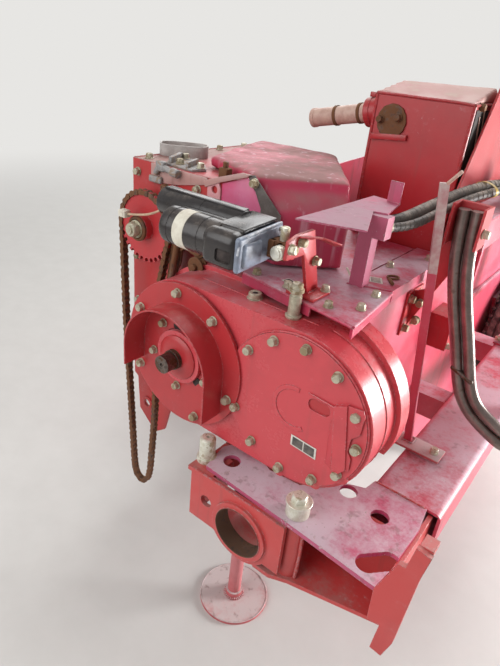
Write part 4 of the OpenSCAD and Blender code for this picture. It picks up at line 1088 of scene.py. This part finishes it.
over_box = prism([(51, 160), (216, 315), (-4, 630), (-298, 630), (-170, 241)], 1153.6, HOOD_TOP)
over_table = prism([(51, 160), (216, 315), (-4, 630), (-58, 630), (-58, 200)], HOOD_FOOT, HOOD_TOP)
SLOPE = [(122, 165), (247, 282), (202, 327), (36, 171)]
sloped = solid([(x, y, HOOD_FOOT) for x, y in SLOPE],
               [(x, y, z) for (x, y), z in zip(SLOPE, (1110, 1110, HOOD_TOP, HOOD_TOP))])
hood = cut(cut(over_box, over_table, "UNION"), sloped, "UNION")
hood = whole("dented_hood", [dented(hood, 6, 110, 11, easing=26)], hood_violet, smooth=60)
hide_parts("hood")
print("hood faces:", len(hood.data.polygons))

# %% [markdown]
# Between the front wall and the hood a dark grey sheet paints the shade in the open gap, with a
# bolt across it. Left of it a small lug with a hole stands on the wall.

# %% Gap and lug


def upright_plate(y, outline, thickness, soft=1.0):
    # outline: corners (x, z) of a plate that faces the front
    return plate([(x, y, z) for x, z in outline], thickness, soft)


# A dark grey sheet that paints the shade in the gap
gap = plate([(35, 147, 1184), (52, 152, 1187), (88, 156, 1150), (128, 162, 1110), (128, 162, 1000),
             (76, 152, 1000), (76, 152, 1118), (60, 150, 1150)], 3)
gap_bolt = copies(small_bolt, [((56, 149, 1170), FRONT, 12)])
settle(join([coat(gap, painted_shade_grey), coat(gap_bolt, zinc)]), "hood_gap_shade")
lug = upright_plate(147, [(-84, 1100), (-42, 1100), (-42, 1136), (-50, 1152), (-74, 1152), (-84, 1138)], 6, 0)
soften(cut(lug, rod((-61, 120, 1131), (-61, 180, 1131), 9)), 1)
lug_bead = weld([(-84, 144, 1100), (-42, 144, 1100)], 3.4)
whole("wall_lug", [lug, lug_bead], lug_pink)
print("gap and lug done")

# %% [markdown]
# The wall's front edge is a patchwork: a sheltered magenta strip, a dusty apron under a slanted
# bar, a small cast fork, a boss at its lower end and two rows of bolts.

# %% Front edge of the wall
strip = plate([(-40, 148.8, 1004), (48, 148.8, 1004), (78, 152, 1004), (78, 152, 1116), (60, 150, 1150),
               (36, 148.8, 1178), (-40, 148.8, 1150)], 3, 0.8)
whole("wall_strip", [strip], magenta)
apron = upright_plate(147.5, [(-286, 1104), (-196, 1113), (-133, 1126), (-88, 1136), (-88, 1153),
                              (-286, 1153)], 4)
bar = upright_plate(145, [(-90, 1131), (-40, 1153), (38, 1180), (46, 1187), (20, 1187), (-60, 1160),
                          (-96, 1146)], 8, 1.5)
whole("wall_apron", [apron, bar], roof_dust)
fork = [rod((-262, 140, 1130), (-244, 140, 1160), 8, 16, 2),
        rod((-244, 140, 1152), (-190, 136, 1146), 8, 16, 2),
        rod((-200, 136, 1147), (-174, 134, 1145), 11, 20, 2),
        block((-256, 132, 1140), (-226, 147, 1166), 4, 3),
        block((-286, 136, 1106), (-240, 147, 1124), 4, 3)]
whole("wall_fork", fork, grey_cast)
boss = turned([(13.5, 0), (22, 0), (23, 1), (23, 4), (22, 5), (13.5, 5)], (-298, 150, 377), FRONT, 36)
whole("wall_boss", [boss], wall_red)
WALL_BOLTS = [(-340, 1120), (-340, 1010), (-340, 880), (-340, 740), (-340, 600), (-120, 1118), (20, 1060),
              (-190, 600)]
bolted("wall_bolts", small_bolt, [((x, 150, z), FRONT, 20 * k) for k, (x, z) in enumerate(WALL_BOLTS)])
print("front edge done")

# %% [markdown]
# On the box's roof lie a cast bracket with its bolts, a closed hoop bent from flat bar and a
# brown clamp. The hoop is a ring of points that is drawn up into a band and given a thickness.

# %% Roof fittings
ROOF_Z = 1153.5
BRACKET_BASE = [(-243, 158), (-272, 196), (-292, 236), (-250, 262), (-176, 234), (-136, 196), (-150, 158)]
bracket = [soften(prism(BRACKET_BASE, ROOF_Z, 1160), 1.2),
           soften(prism([(-236, 160), (-226, 160), (-262, 238), (-272, 232)], 1160, 1176), 1.5),
           soften(prism([(-176, 160), (-166, 160), (-190, 226), (-200, 222)], 1160, 1174), 1.5)]
whole("roof_bracket", bracket, grey_cast)
clamp = [block((-66, 160, 1153.4), (-40, 184, 1182), 3, 3),
         rod((-53, 172, 1180), (-53, 172, 1196), 7, 20, 1.5)]
whole("roof_clamp", clamp, rusty_steel)
bolted("roof_bolts", small_bolt, [((x, y, z), UP, spin) for x, y, z, spin in (
    (-214, 180, 1160, 10), (-150, 190, 1160, 40), (-258, 246, 1160, 25), (-330, 180, 1153, 5),
    (-338, 480, 1153, 15), (-338, 600, 1153, 50))])
folds = [tube([(-361, 156, 1152), (-361, 400, 1152.5), (-361, 640, 1152)], 3.2, 12),
         tube([(-361, 153, 1151), (-200, 153, 1152), (-60, 153, 1151)], 3, 12)]
whole("roof_folds", folds, box_red)
print("roof done")

# %% The hoop
HOOP_X, HOOP_Y, HOOP_TURN = -314, 297, math.radians(40.6)
HOOP_LONG, HOOP_WIDE, HOOP_HIGH, HOOP_STEPS = 66, 36, 32, 72


def squared(value):
    # Rounds a circle's cosine or sine towards a rectangle with full corners
    return math.copysign(abs(value) ** 0.7, value)


places = []
for k in range(HOOP_STEPS):
    angle = math.tau * k / HOOP_STEPS
    along, across = HOOP_LONG * squared(math.cos(angle)), HOOP_WIDE * squared(math.sin(angle))
    places.append(at(HOOP_X + along * math.cos(HOOP_TURN) - across * math.sin(HOOP_TURN),
                     HOOP_Y + along * math.sin(HOOP_TURN) + across * math.cos(HOOP_TURN), 1154))
hoop = edit(outline_mesh(places, "NOTHING"),
            (bpy.ops.mesh.extrude_edges_move, {"TRANSFORM_OT_translate": {"value": (0, 0, mm(HOOP_HIGH))}}),
            (bpy.ops.mesh.normals_make_consistent, {"inside": False}))
modify(hoop, "SOLIDIFY", thickness=mm(5), offset=0)
soften(hoop, 1, 2, 60)
whole("roof_hoop", [hoop], hoop_grey)
print("hoop faces:", len(hoop.data.polygons))

# %% [markdown]
# The upright cover has had the hardest life: its dusty lid slopes up to the back, a corroded
# patch sits at its upper left corner, and its right side is a black sheet that paints the shade
# there, with thin wires along it.

# %% Upright cover
CX0, CX1, CY0, CY1, CTOP = 78, 349, 646, 896, 1370
edges = [tube([(CX0, CY0, CTOP - 3), (150, CY0 - 1, CTOP - 1), (230, CY0, CTOP - 3), (300, CY0 - 1, CTOP),
               (CX1, CY0, CTOP - 3)], 4.5, 14)]
for x, inner in ((CX1, CX1 - 1), (CX0, CX0 + 1)):
    edges.append(tube([(x, CY0, CTOP - 4), (x, 760, CTOP - 2), (x, CY1, CTOP - 5)], 4, 14))
    edges.append(tube([(inner, CY0 + 1, 935), (x, CY0, 1150), (inner, CY0 + 1, CTOP - 6)], 5, 14))
whole("cover_folds", edges, cover_red)
patch = upright_plate(642, [(136 + 44 * math.cos(a), 1300 + 46 * math.sin(a))
                            for a in [math.tau * k / 14 for k in range(14)]], 7, 0)
dented(patch, 2.5, 25, 3)
strap = upright_plate(640, [(84, 1246), (84, 1262), (190, 1272), (190, 1256)], 9, 1.5)
patch_bolts = copies(small_bolt, [((104, 638, 1302), FRONT, 10), ((156, 638, 1312), FRONT, 33)])
settle(join([coat(patch, rusty_steel), coat(strap, cover_red), coat(patch_bolts, rusty_steel)]),
       "cover_patch_upper")
lid = solid([(CX0, CY0, CTOP - 2), (CX1, CY0, CTOP - 2), (CX1, 890, CTOP - 2), (CX0, 890, CTOP - 2)],
            [(CX0, CY0, CTOP + 2), (CX1, CY0, CTOP + 2), (CX1, 800, 1409), (CX0, 800, 1402)])
whole("cover_lid", [dented(lid, 7, 80, 4)], lid_brown, smooth=50)
# A black sheet that paints the shade on the cover's right side
panel = plate([(350.4, 662, 1100), (350.4, 880, 1100), (350.4, 880, 1350), (350.4, 662, 1356)], 2, 0.5)
whole("cover_side_shade", [panel], shadow_black)
bolted("cover_side_bolts", small_bolt, [((CX1, y, 1362), LEFT, 10) for y in (690, 850)],
       rusty_steel)
wires = [tube([(353, 690 + dy, 1340 + dz), (354, 715 + dy, 1270 + dz), (353.6, 740 + dy, 1200),
               (354.6, 752 + dy, 1150), (353.6, 745 + dy, 1120)], 1.8, 10)
         for dy, dz in ((0, 0), (14, -30), (30, 12))]
whole("cover_wires", wires, tube_pale)
print("upright cover done")

# %% [markdown]
# A pale tube with an open end sticks out of the cover's right side, in a clamp and two rusty
# bands.

# %% The pale tube and its clamp
TILT = math.radians(12.3)
tube_axis = (-math.cos(TILT), 0, -math.sin(TILT))
tube_foot = (82, 706, 1318)


def round_tube(distance, profile):
    # profile: turned about the tube's axis, from distance mm along it
    return turned(profile, tuple(f + distance * a for f, a in zip(tube_foot, tube_axis)), tube_axis, 40)


sleeve = round_tube(50, [(21.2, 0), (26.6, 0), (26.6, 176), (28.5, 178), (28.5, 189), (26.5, 191),
                         (21.2, 191)])
bands = [round_tube(d, [(26.8, 0), (29.4, 0.6), (29.4, 9.4), (26.8, 10)]) for d in (70, 150)]
clamp_ring = round_tube(34, [(27, 0), (40, 0), (41, 1.5), (41, 16), (40, 17.5), (27, 17.5)])
ear = block((30, 698, 1350), (48, 714, 1364), 2)
painted = coat(join([clamp_ring, ear]), cover_red)
settle(join([coat(sleeve, tube_pale), coat(join(bands), rusty_steel), painted]), "side_tube")
print("side tube done")

# %% [markdown]
# The table has a turned lip in front, a seam with a step, a spring clip that stands up like a V
# and a ring pin.

# %% Table
TABLE_Z = 980
lips = [tube([(93, 89, 977), (200, 72, 976), (300, 56, 977), (410, 38, 976)], 4.2, 14),
        tube([(411, 38, 976), (402, 140, 976), (389, 264, 976)], 4, 14),
        tube([(291, 226, 981), (340, 246, 981.5), (386, 265, 981)], 3, 12)]
whole("table_lips", lips, table_red)
clip = tube([(268, 259, 1004), (279, 259, 990), (285, 259, 981), (287, 259, 990), (291, 259, 1022)], 2.8, 12)
ring_pin = [tube([(349, 333, 982), (366, 340, 984), (368, 356, 984), (352, 362, 983), (338, 350, 983),
                  (340, 336, 983), (349, 333, 982)], 2.6, 10),
            rod((349, 333, 981), (372, 300, 985), 4.5, 16, 0.8)]
settle(join([coat(clip, bright_zinc), coat(join(ring_pin), rusty_steel)]), "table_clips")
TABLE_BOLTS = [(120, 104, 10), (212, 96, 35), (330, 76, 20), (384, 120, 5), (374, 210, 50), (310, 420, 15),
               (360, 560, 15)]
bolted("table_bolts", small_bolt, [((x, y, TABLE_Z), UP, spin) for x, y, spin in TABLE_BOLTS])
print("table done")

# %% [markdown]
# The lever on the table is held by two zinc bolts, has three more on its side, and ends in a
# thin bent flap.

# %% Lever
bolted("lever_bolts", small_bolt, [((270, 30, 1114), LEFT, 15), ((270, -4, 1106), LEFT, 40),
                                   ((270, 96, 1060), LEFT, 5), ((236, 76, 988), UP, 20),
                                   ((290, 128, 988), UP, 20)])
lever_beads = [weld([(x, 84, 988), (x, 130, 988)], 3.6) for x in (261, 271)]
flap = plate([(293, 22, 1131), (322, 24, 1137), (345, 60, 1122), (318, 84, 1108), (280, 74, 1118)], 4, 1)
flap_stem = plate([(271, 20, 1126), (296, 22, 1131), (282, 74, 1118), (271, 70, 1112)], 4, 1)
whole("lever_flap", [*lever_beads, flap, flap_stem], guard_red)
print("lever done")

# %% [markdown]
# The flat bar on the main beam is twisted along its length, and rubbed bare at its top. It is
# modelled as a stack of thin slices that turn a little from foot to top.

# %% Twisted post bar
BAR_FOOT, BAR_TOP, BAR_LEAN = 538, 1218, 84
painted = coat(block((476, 375, 532), (497, 385, 1010), 0), frame_red)
bare = coat(block((476, 375, 1010), (497, 385, BAR_TOP), 0), worn_bar)
bar = edit(join([painted, bare]), (bpy.ops.mesh.subdivide, {"number_cuts": 24}))
pivot = at(486, 386, 0)
for vertex in bar.data.vertices:
    share = (vertex.co.z - mm(BAR_FOOT)) / mm(BAR_TOP - BAR_FOOT)
    angle = math.radians(38) * min(1, max(0, share * 1.6 - 0.3))
    dx, dy = vertex.co.x - pivot.x, vertex.co.y - pivot.y
    vertex.co.x = pivot.x + dx * math.cos(angle) - dy * math.sin(angle) - mm(BAR_LEAN) * share
    vertex.co.y = pivot.y + dx * math.sin(angle) + dy * math.cos(angle)
soften(bar, 1.2, 2, 60)
foot = block((432, 350, 530.5), (583, 410, BAR_FOOT), 1.5)
foot_bead = weld([(x, y, BAR_FOOT + 1) for x, y in ((472, 372), (500, 372), (500, 400), (472, 400),
                                                    (472, 372))], 3.4)
post = settle(join([bar, coat(join([foot, foot_bead]), foot_pink)]), "twisted_post", smooth=35)
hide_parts("post_bar")
bolted("post_foot_bolts", cover_bolt, [((450, 380, BAR_FOOT), UP, 12), ((560, 380, BAR_FOOT), UP, 30)])
whole("post_tip_rod", [rod((406, 386, 1210), (440, 372, 1250), 4, 16, 0.8)], tube_pale)
print("post bar done")

# %% [markdown]
# Two bare steel pipes come down from the bracket to the coupling block on the beam, side by
# side. A nut holds each at the block, and a thin clip ties them at half height.

# %% Hydraulic pipes
PIPE_R, NUT_R, NUT_LEN = 15, 18, 26
PIPE_LINE = [Vector(p) for p in [
    (477, 446, 1160), (478, 446, 1120), (484, 446, 1050), (500, 448, 970), (526, 450, 890), (550, 450, 820),
    (568, 450, 760), (585, 450, 715), (608, 450, 682), (640, 450, 660), (676, 450, 642), (702, 456, 630),
    (718, 478, 620), (726, 520, 610), (726, 620, 600), (726, 740, 600)]]


def beside(line, step):
    made = []
    for k, spot in enumerate(line):
        ahead = (line[min(k + 1, len(line) - 1)] - line[max(k - 1, 0)]).normalized()
        across = (Vector((-1, 1, 0)) if ahead.y > 0.3 else Vector((0, 1, 0))).cross(ahead).normalized()
        made.append(spot + step * across)
    return made


def about(piece, place, change):
    # Turns or stretches a piece about a place in mm
    piece.data.transform(Matrix.Translation(at(*place)) @ change @ Matrix.Translation(-at(*place)))
    return piece


def end_nut(spot, ahead, length, radius, sides):
    return coat(rod(spot, spot + (ahead - spot).normalized() * length, radius, sides, 1.2), zinc)


pipes = []
for step in (-1.5, 29.5):
    line = beside(PIPE_LINE, step)
    pipes.append(coat(tube(line, PIPE_R, 28), pipe_steel))
    pipes.append(end_nut(line[-1], line[-2], NUT_LEN, NUT_R, 6))
pipe_set = settle(join(pipes), "pipe_set", smooth=50)
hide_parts("hydraulic_pipes")
middle = beside(PIPE_LINE, 14)[6]
clip = block((middle.x - 34, 433.5, middle.z - 6), (middle.x + 34, 466.5, middle.z + 6), 5, 3)
about(clip, middle, Matrix.Rotation(math.radians(22), 4, "Y"))
whole("pipe_clamp", [clip], dark_steel)
bracket_spots = [((502, 446, 1113), LEFT, 10), ((463, 476, 1140), FRONT, 30), ((394, 476, 890), FRONT, 20),
                 ((394, 476, 840), FRONT, 5)]
bracket_spots += [((371, y, z), LEFT, 18) for y in (456, 520) for z in (815, 900)]
bolted("bracket_bolts", cover_bolt, bracket_spots)
print("pipes done")

# %% [markdown]
# The hoses run from the post under the loose plate to the block on the rail. Both are wrapped
# in a spiral of tape; a yellow tie holds them together.

# %% Wrapped hoses
HOSE_LINE = [Vector(p) for p in [
    (314, 260.3, 1122), (314, 274, 1122), (319, 290, 1121), (332, 322, 1121), (346, 364, 1126),
    (360, 430, 1140), (378, 484, 1154), (396, 530, 1168), (418, 572, 1180), (440, 618, 1188),
    (455, 670, 1188), (461, 730, 1180), (462, 800, 1166), (462, 860, 1158), (462, 898, 1158)]]
TAPE_PITCH = 15
TIE_AT = (443, 600, 1184)


def spiral(line, radius, pitch):
    made = []
    turned_by = 0.0
    for a, b in zip(line, line[1:]):
        count = max(2, round((b - a).length / (pitch / 10)))
        ahead = (b - a).normalized()
        side = ahead.cross(Vector(UP)).normalized()
        upward = side.cross(ahead)
        for k in range(count):
            turned_by += math.tau * (b - a).length / count / pitch
            spot = a.lerp(b, k / count)
            made.append(spot + radius * (math.cos(turned_by) * side + math.sin(turned_by) * upward))
    return made


hoses = []
for shift, radius in ((Vector((0, 0, 0)), 16), (Vector((29.5, 0, -4)), 11)):
    line = [p + shift for p in HOSE_LINE]
    hoses.append(coat(tube(line, radius - 0.8, 24), hose_black))
    hoses.append(coat(tube(spiral(line[1:-1], radius - 1.2, TAPE_PITCH), 1.9, 8), hose_black))
    for spot, ahead in ((line[0], line[1]), (line[-1], line[-2])):
        hoses.append(end_nut(spot, ahead, 24, radius + 0.6, 24))
hose_set = settle(join(hoses), "hose_set", smooth=50)
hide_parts("hose_pair")
tie = turned([(33, -4), (34.6, -4), (34.6, 4), (33, 4)], TIE_AT, (0.4, 0.9, 0.15), 36)
whole("hose_tie", [about(tie, TIE_AT, Matrix.Diagonal((1, 1, 0.56, 1)))], tie_yellow)
print("hoses done")

# %% [markdown]
# ## The web and its rollers
#
# The web is an endless belt of steel rods. Its two rubber belts run beside the side walls;
# every rod is fixed to both by a pair of rivets. The rods are round here, and the belts get a
# carcass edge.

# %% Web values
WEB_ANGLE = math.radians(26)
WEB_LEN, WEB_R, ROD_R, ROD_COUNT = 1190, 55, 5.5, 62
NOSE = Vector((0, 1270, WEB_R + ROD_R + 60))
WEB_HALF = 351
LOOP = 2 * WEB_LEN + math.tau * WEB_R


def web_spot(run, lift=0.0):
    # run: way along the loop; lift: height above the belt's middle. Gives (y, z) in the drawing
    r = WEB_R + lift
    if run < WEB_LEN:
        u, v = run, r
    elif run < WEB_LEN + math.pi * WEB_R:
        a = math.pi / 2 - (run - WEB_LEN) / WEB_R
        u, v = WEB_LEN + r * math.cos(a), r * math.sin(a)
    elif run < 2 * WEB_LEN + math.pi * WEB_R:
        u, v = WEB_LEN - (run - WEB_LEN - math.pi * WEB_R), -r
    else:
        a = -math.pi / 2 - (run - 2 * WEB_LEN - math.pi * WEB_R) / WEB_R
        u, v = r * math.cos(a), r * math.sin(a)
    return (NOSE.y + u * math.cos(WEB_ANGLE) - v * math.sin(WEB_ANGLE),
            NOSE.z + u * math.sin(WEB_ANGLE) + v * math.cos(WEB_ANGLE))


print("web loop in mm:", round(LOOP))

# %% The belts
BELT_STEPS = 200


def belt(side, low, high, near, far):
    # low, high: lift of its lower and upper face; near, far: distance from the web's edge
    shape = bmesh.new()
    rows = []
    for k in range(BELT_STEPS):
        row = []
        for lift, across in ((low, near), (high, near), (high, far), (low, far)):
            y, z = web_spot(k * LOOP / BELT_STEPS, lift)
            row.append(shape.verts.new(at(side * (WEB_HALF - across), y, z)))
        rows.append(row)
    for a, b in zip(rows, rows[1:] + rows[:1]):
        for k in range(4):
            shape.faces.new((a[k], a[(k + 1) % 4], b[(k + 1) % 4], b[k]))
    bmesh.ops.recalc_face_normals(shape, faces=shape.faces)
    mesh = bpy.data.meshes.new("web_belt")
    shape.to_mesh(mesh)
    shape.free()
    piece = bpy.data.objects.new("web_belt", mesh)
    bpy.context.collection.objects.link(piece)
    return piece


belts = []
for side in (-1, 1):
    belts.append(coat(belt(side, -5.6, 3.0, 0, 60), belt_rubber))
    belts.append(coat(belt(side, 2.6, 4.6, 8, 52), tyre_rubber))
print("belts:", len(belts))

# %% Rods and rivets
rods = []
rivet_spots = []
for k in range(ROD_COUNT):
    run = k * LOOP / ROD_COUNT
    y, z = web_spot(run)
    rods.append(rod((-WEB_HALF, y, z), (WEB_HALF, y, z), ROD_R, 14))
    ya, za = web_spot(run, 5)
    out = Vector((0, ya - y, za - z))
    rivet_spots += [((side * (WEB_HALF - d), y + out.y * 0.75, z + out.z * 0.75), out, 0)
                    for side in (-1, 1) for d in (16, 44)]
bpy.ops.mesh.primitive_uv_sphere_add(segments=12, ring_count=6, radius=mm(6), location=(0, 0, 0))
rivet = freeze(bpy.context.object)
rivet.data.transform(Matrix.Diagonal((1, 1, 0.45, 1)))
rivets = coat(copies(rivet, rivet_spots), rusty_steel)
drop(rivet)
web = settle(join([*belts, coat(join(rods), web_steel), rivets]), "rod_web_set", smooth=40)
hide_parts("rod_web")
print("web faces:", len(web.data.polygons))

# %% [markdown]
# The roller shafts turn in flanged bearings on the outside of the walls. The share is bolted on
# with countersunk heads and its edge is worn bright.

# %% Bearings
FLANGE = [(17.3, 0), (46, 0), (48, 2), (48, 7), (46, 9), (32, 10), (30, 14), (22, 17), (17.3, 17)]
SHAFT_NUT = [(1, 0), (11, 0), (12, 1.5), (12, 7), (10, 9), (1, 9)]
HEAD_Y = NOSE.y + WEB_LEN * math.cos(WEB_ANGLE)
HEAD_Z = NOSE.z + WEB_LEN * math.sin(WEB_ANGLE)
for label, y, z in (("nose", NOSE.y, NOSE.z), ("head", HEAD_Y, HEAD_Z)):
    parts = []
    spots = []
    for side in (-1, 1):
        out = (side, 0, 0)
        parts.append(coat(turned(FLANGE, (side * 365.2, y, z), out), grey_cast))
        parts.append(coat(turned(SHAFT_NUT, (side * 382, y, z), out, 6), rusty_steel))
        spots += [(on_side(side * 374, y, z, 38, d), out, 20) for d in (45, 135, 225, 315)]
    parts.append(coat(copies(small_bolt, spots), zinc))
    settle(join(parts), label + "_bearings")
print("bearings done")

# %% Share bolts and edge
share_low, share_high = Vector((0, 1020, 40)), Vector((0, NOSE.y - 58, NOSE.z + 56))
slope = (share_high - share_low).normalized()
normal = Vector((0, -slope.z, slope.y))
row = share_low.lerp(share_high, 0.62) + normal * 0.2
centres = [(x, row.y, row.z) for x in (-300, -150, 0, 150, 300)]
heads = [turned([(1, 2.2), (6, 2.2), (13, 0.8), (13.5, 0), (1, 0)], spot, normal, 28) for spot in centres]
# Black hexagons in the heads paint the shade inside their sockets
sockets = [turned([(1, 2.2), (5.5, 2.2), (5.5, 2.6), (1, 2.6)], spot, normal, 6) for spot in centres]
settle(join([coat(join(heads), web_steel), coat(join(sockets), shadow_black)]), "share_bolts")
whole("share_edge", [rod((-358, 1021.5, 40.5), (358, 1021.5, 40.5), 3, 16)], web_steel)
print("share done")

# %% [markdown]
# ## Wheels
#
# The discs carry a hub with a dust cap and five nuts. The tyres are ribbed, as on towed field
# machines, with fine cross cuts on the shoulders and three raised rings on each sidewall.

# %% Wheel trim
AXLE_Y, TYRE_R, TYRE_W = 1770, 340, 155
WHEEL_X = 464.5


def wheel_ring(side, offset, outward, profile, sides=48):
    # offset: outwards from the wheel's middle plane; outward: 1 faces away from the machine
    return turned(profile, (side * (WHEEL_X + offset), AXLE_Y, TYRE_R), (side * outward, 0, 0), sides)


for side, label in ((1, "left"), (-1, "right")):
    cap = wheel_ring(side, 45, 1, [(1, 16), (14, 16), (24, 13), (29, 6), (30, 0), (1, 0)])
    collar = wheel_ring(side, 45, 1, [(50.2, -12), (53, -12), (53, 0), (50.2, 1)])
    dish = wheel_ring(side, 4, 1, [(96, 0), (104, 6), (112, 8), (120, 6), (128, 0)], 72)
    lips = [wheel_ring(side, d * 56, d, [(186, 0), (194, 0), (196, 2), (195, 5), (190, 6), (186, 4)], 96)
            for d in (-1, 1)]
    nut_x = side * (WHEEL_X + 4)
    nuts = copies(large_bolt, [(on_side(nut_x, AXLE_Y, TYRE_R, 78, 90 + 72 * k), (side, 0, 0), 9 * k)
                               for k in range(5)])
    valve = rod((side * (WHEEL_X + 30), AXLE_Y, TYRE_R + 166), (side * (WHEEL_X + 62), AXLE_Y, TYRE_R + 158),
                4, 14, 0.8)
    settle(join([coat(join([cap, dish, *lips]), rim_cream), coat(join([collar, nuts]), rusty_steel),
                 coat(valve, hose_black)]), "wheel_trim_" + label, "wheel_" + label)
print("wheel trim done")

# %% Relief of the tyres
CUTS = 56
SIDEWALL = TYRE_W / 2
for side, label in ((1, "left"), (-1, "right")):
    rings = [wheel_ring(side, d * (SIDEWALL - sunk), d,
                        [(radius - 3, -3), (radius + 3, -3), (radius + 2, 0.8), (radius - 2, 0.8)], 120)
             for d in (-1, 1) for radius, sunk in ((262, 0.2), (292, 0.2), (232, 2.6))]
    spots = []
    for d in (-1, 1):
        for k in range(CUTS):
            a = math.tau * k / CUTS
            spots.append((on_side(side * (WHEEL_X + d * 68), AXLE_Y, TYRE_R, 331.5, math.degrees(a)),
                          (side * d * 0.45, math.cos(a), math.sin(a)), 0))
    bpy.ops.mesh.primitive_cube_add(size=1, location=(0, 0, 0))
    lug_block = bpy.context.object
    lug_block.scale = (mm(15), mm(15), mm(10))
    soften(freeze(lug_block), 1.6)
    shoulder = copies(lug_block, spots)
    drop(lug_block)
    whole("tyre_relief_" + label, [*rings, shoulder], tyre_rubber, "wheel_" + label)
print("wheels done")

# %% [markdown]
# ## Frame, walls and swath boards
#
# Weld beads run where the arms meet the walls and beams, bolts hold the axle plates, and
# stiffening ribs run along the long walls.

# %% Welds on the frame
CROSS_Z, CROSS = 428, 80
beads = []
for y in (700, 1240):
    for side in (-1, 1):
        for x in (side * 366, side * 485):
            square = [(0, 0), (CROSS, 0), (CROSS, CROSS), (0, CROSS), (0, 0)]
            beads.append(weld([(x, y + dy, CROSS_Z + dz) for dy, dz in square], 4.2, 3.6))
beads.append(weld([(520, 1220, 531), (594, 1220, 531)], 4, 3.4))
whole("frame_welds", beads, frame_red)
print("frame welds:", len(beads))

# %% Ribs and bolts


def wall_rib(side, depth, y0, y1, z0, z1, soft):
    inner, outer = sorted((side * 365, side * (365 + depth)))
    return block((inner, y0, z0), (outer, y1, z1), soft)


ribs = []
for side in (-1, 1):
    ribs.append(wall_rib(side, 14, 900, 2330, 700, 722, 3))
    ribs += [wall_rib(side, 12, y, y + 20, foot, 985, 2.5) for y, foot in ((1060, 560), (2180, 700))]
whole("wall_ribs", ribs, frame_red)
bolted("axle_bolts", large_bolt, [((side * 379, y, z), (side, 0, 0), 13) for side in (-1, 1) for y, z in (
    (1610, 560), (1930, 575), (1690, 315), (1850, 315), (1770, 585))])
rail_spots = [((600, 1228, 538), UP, 10), ((600, 1296, 538), UP, 40), ((490, 1228, 538), UP, 25),
              ((463, 910, 1186), UP, 20), ((463, 940, 1186), UP, 45)]
rail_spots += [((371, y, z), LEFT, 20) for y in (660, 1130) for z in (960, 1120)]
rail_spots += [((435, y, z), LEFT, 25) for y in (714, 796) for z in (684, 766)]
bolted("rail_bolts", small_bolt, rail_spots)
print("frame done")

# %% Hinges and portal
hinge_parts = []
spots = []
for side in (-1, 1):
    for z in (HEAD_Z + 19, 1100):
        hinge_parts.append(turned([(6.3, 0), (9, 0), (9.6, 1), (9.6, 4), (8, 5), (6.3, 5)],
                                  (side * 362, HEAD_Y + 170, z), UP, 28))
    spots += [((side * 365, HEAD_Y + dy, z), (side, 0, 0), spin)
              for dy, z, spin in ((130, 1040, 12), (60, 1040, 40), (130, 1085, 30))]
whole("hinge_rings", hinge_parts, rusty_steel)
bolted("portal_bolts", small_bolt, spots)
print("hinges done")

# %% [markdown]
# ## Light and floor
#
# A pale concrete floor fades into a pale surround, so that no horizon cuts the picture. The key
# is a soft window over the machine, a low light like that of a barn door draws a sheen along
# its left side, and two weak fills keep the shaded sides readable.

# %% Floor
BACKDROP = (0.80, 0.79, 0.77)
bpy.ops.mesh.primitive_plane_add(size=60, location=(0, 0, 0))
floor = bpy.context.object
floor.name = "studio_floor"
ground = Finish("pale_floor")
speckle = ground.mix(ground.noise(9, 6, 0.6), (0.55, 0.54, 0.52), (0.63, 0.62, 0.60))
floor.data.materials.append(ground.done(speckle, 0.9))
distance = ground.node("ShaderNodeVectorMath", {0: ground.place.outputs["Object"]}, operation="LENGTH")
far = ground.mask(distance.outputs["Value"], 2.2, 6.5)
seen = ground.node("ShaderNodeLightPath").outputs["Is Camera Ray"]
glow = ground.node("ShaderNodeEmission", {"Color": BACKDROP})
blend = ground.node("ShaderNodeMixShader", {0: ground.times(far, seen), 1: ground.shader.outputs[0],
                                            2: glow.outputs[0]})
ground.feed(ground.tree.nodes["Material Output"].inputs["Surface"], blend.outputs[0])
print("floor ready")

# %% Lamps


def soft_lamp(name, location, target, size, power):
    bpy.ops.object.light_add(type="AREA", location=location)
    lamp = bpy.context.object
    lamp.name = name
    lamp.data.size = size
    lamp.data.energy = power
    aim = Vector(target) - Vector(location)
    lamp.rotation_euler = aim.to_track_quat("-Z", "Y").to_euler()


soft_lamp("window_key", (-0.6, 1.4, 4.2), (0.0, -1.0, 0.7), 2.6, 118)
soft_lamp("door_light", (2.7, 1.3, 1.0), (0.45, -1.2, 0.75), 1.4, 210)
soft_lamp("front_fill", (-1.2, -4.4, 2.6), (0, -0.8, 0.6), 3.5, 105)
soft_lamp("back_fill", (-3.5, 3.5, 3.2), (0, 0.3, 0.6), 3.0, 70)

# %% Surround
world = bpy.data.worlds.new("studio")
bpy.context.scene.world = world
world.use_nodes = True
surround = world.node_tree
sky = surround.nodes["Background"]
sky.inputs["Color"].default_value = (1.0, 0.99, 0.97, 1)
sky.inputs["Strength"].default_value = 0.42
backdrop = surround.nodes.new("ShaderNodeBackground")
backdrop.inputs["Color"].default_value = (*BACKDROP, 1)
seen = surround.nodes.new("ShaderNodeLightPath").outputs["Is Camera Ray"]
choice = surround.nodes.new("ShaderNodeMixShader")
for socket, source in zip(choice.inputs, (seen, sky.outputs[0], backdrop.outputs[0])):
    surround.links.new(source, socket)
surround.links.new(choice.outputs[0], surround.nodes["World Output"].inputs["Surface"])
print("surround ready")

# %% Clean up
drop(small_bolt, cover_bolt, large_bolt)
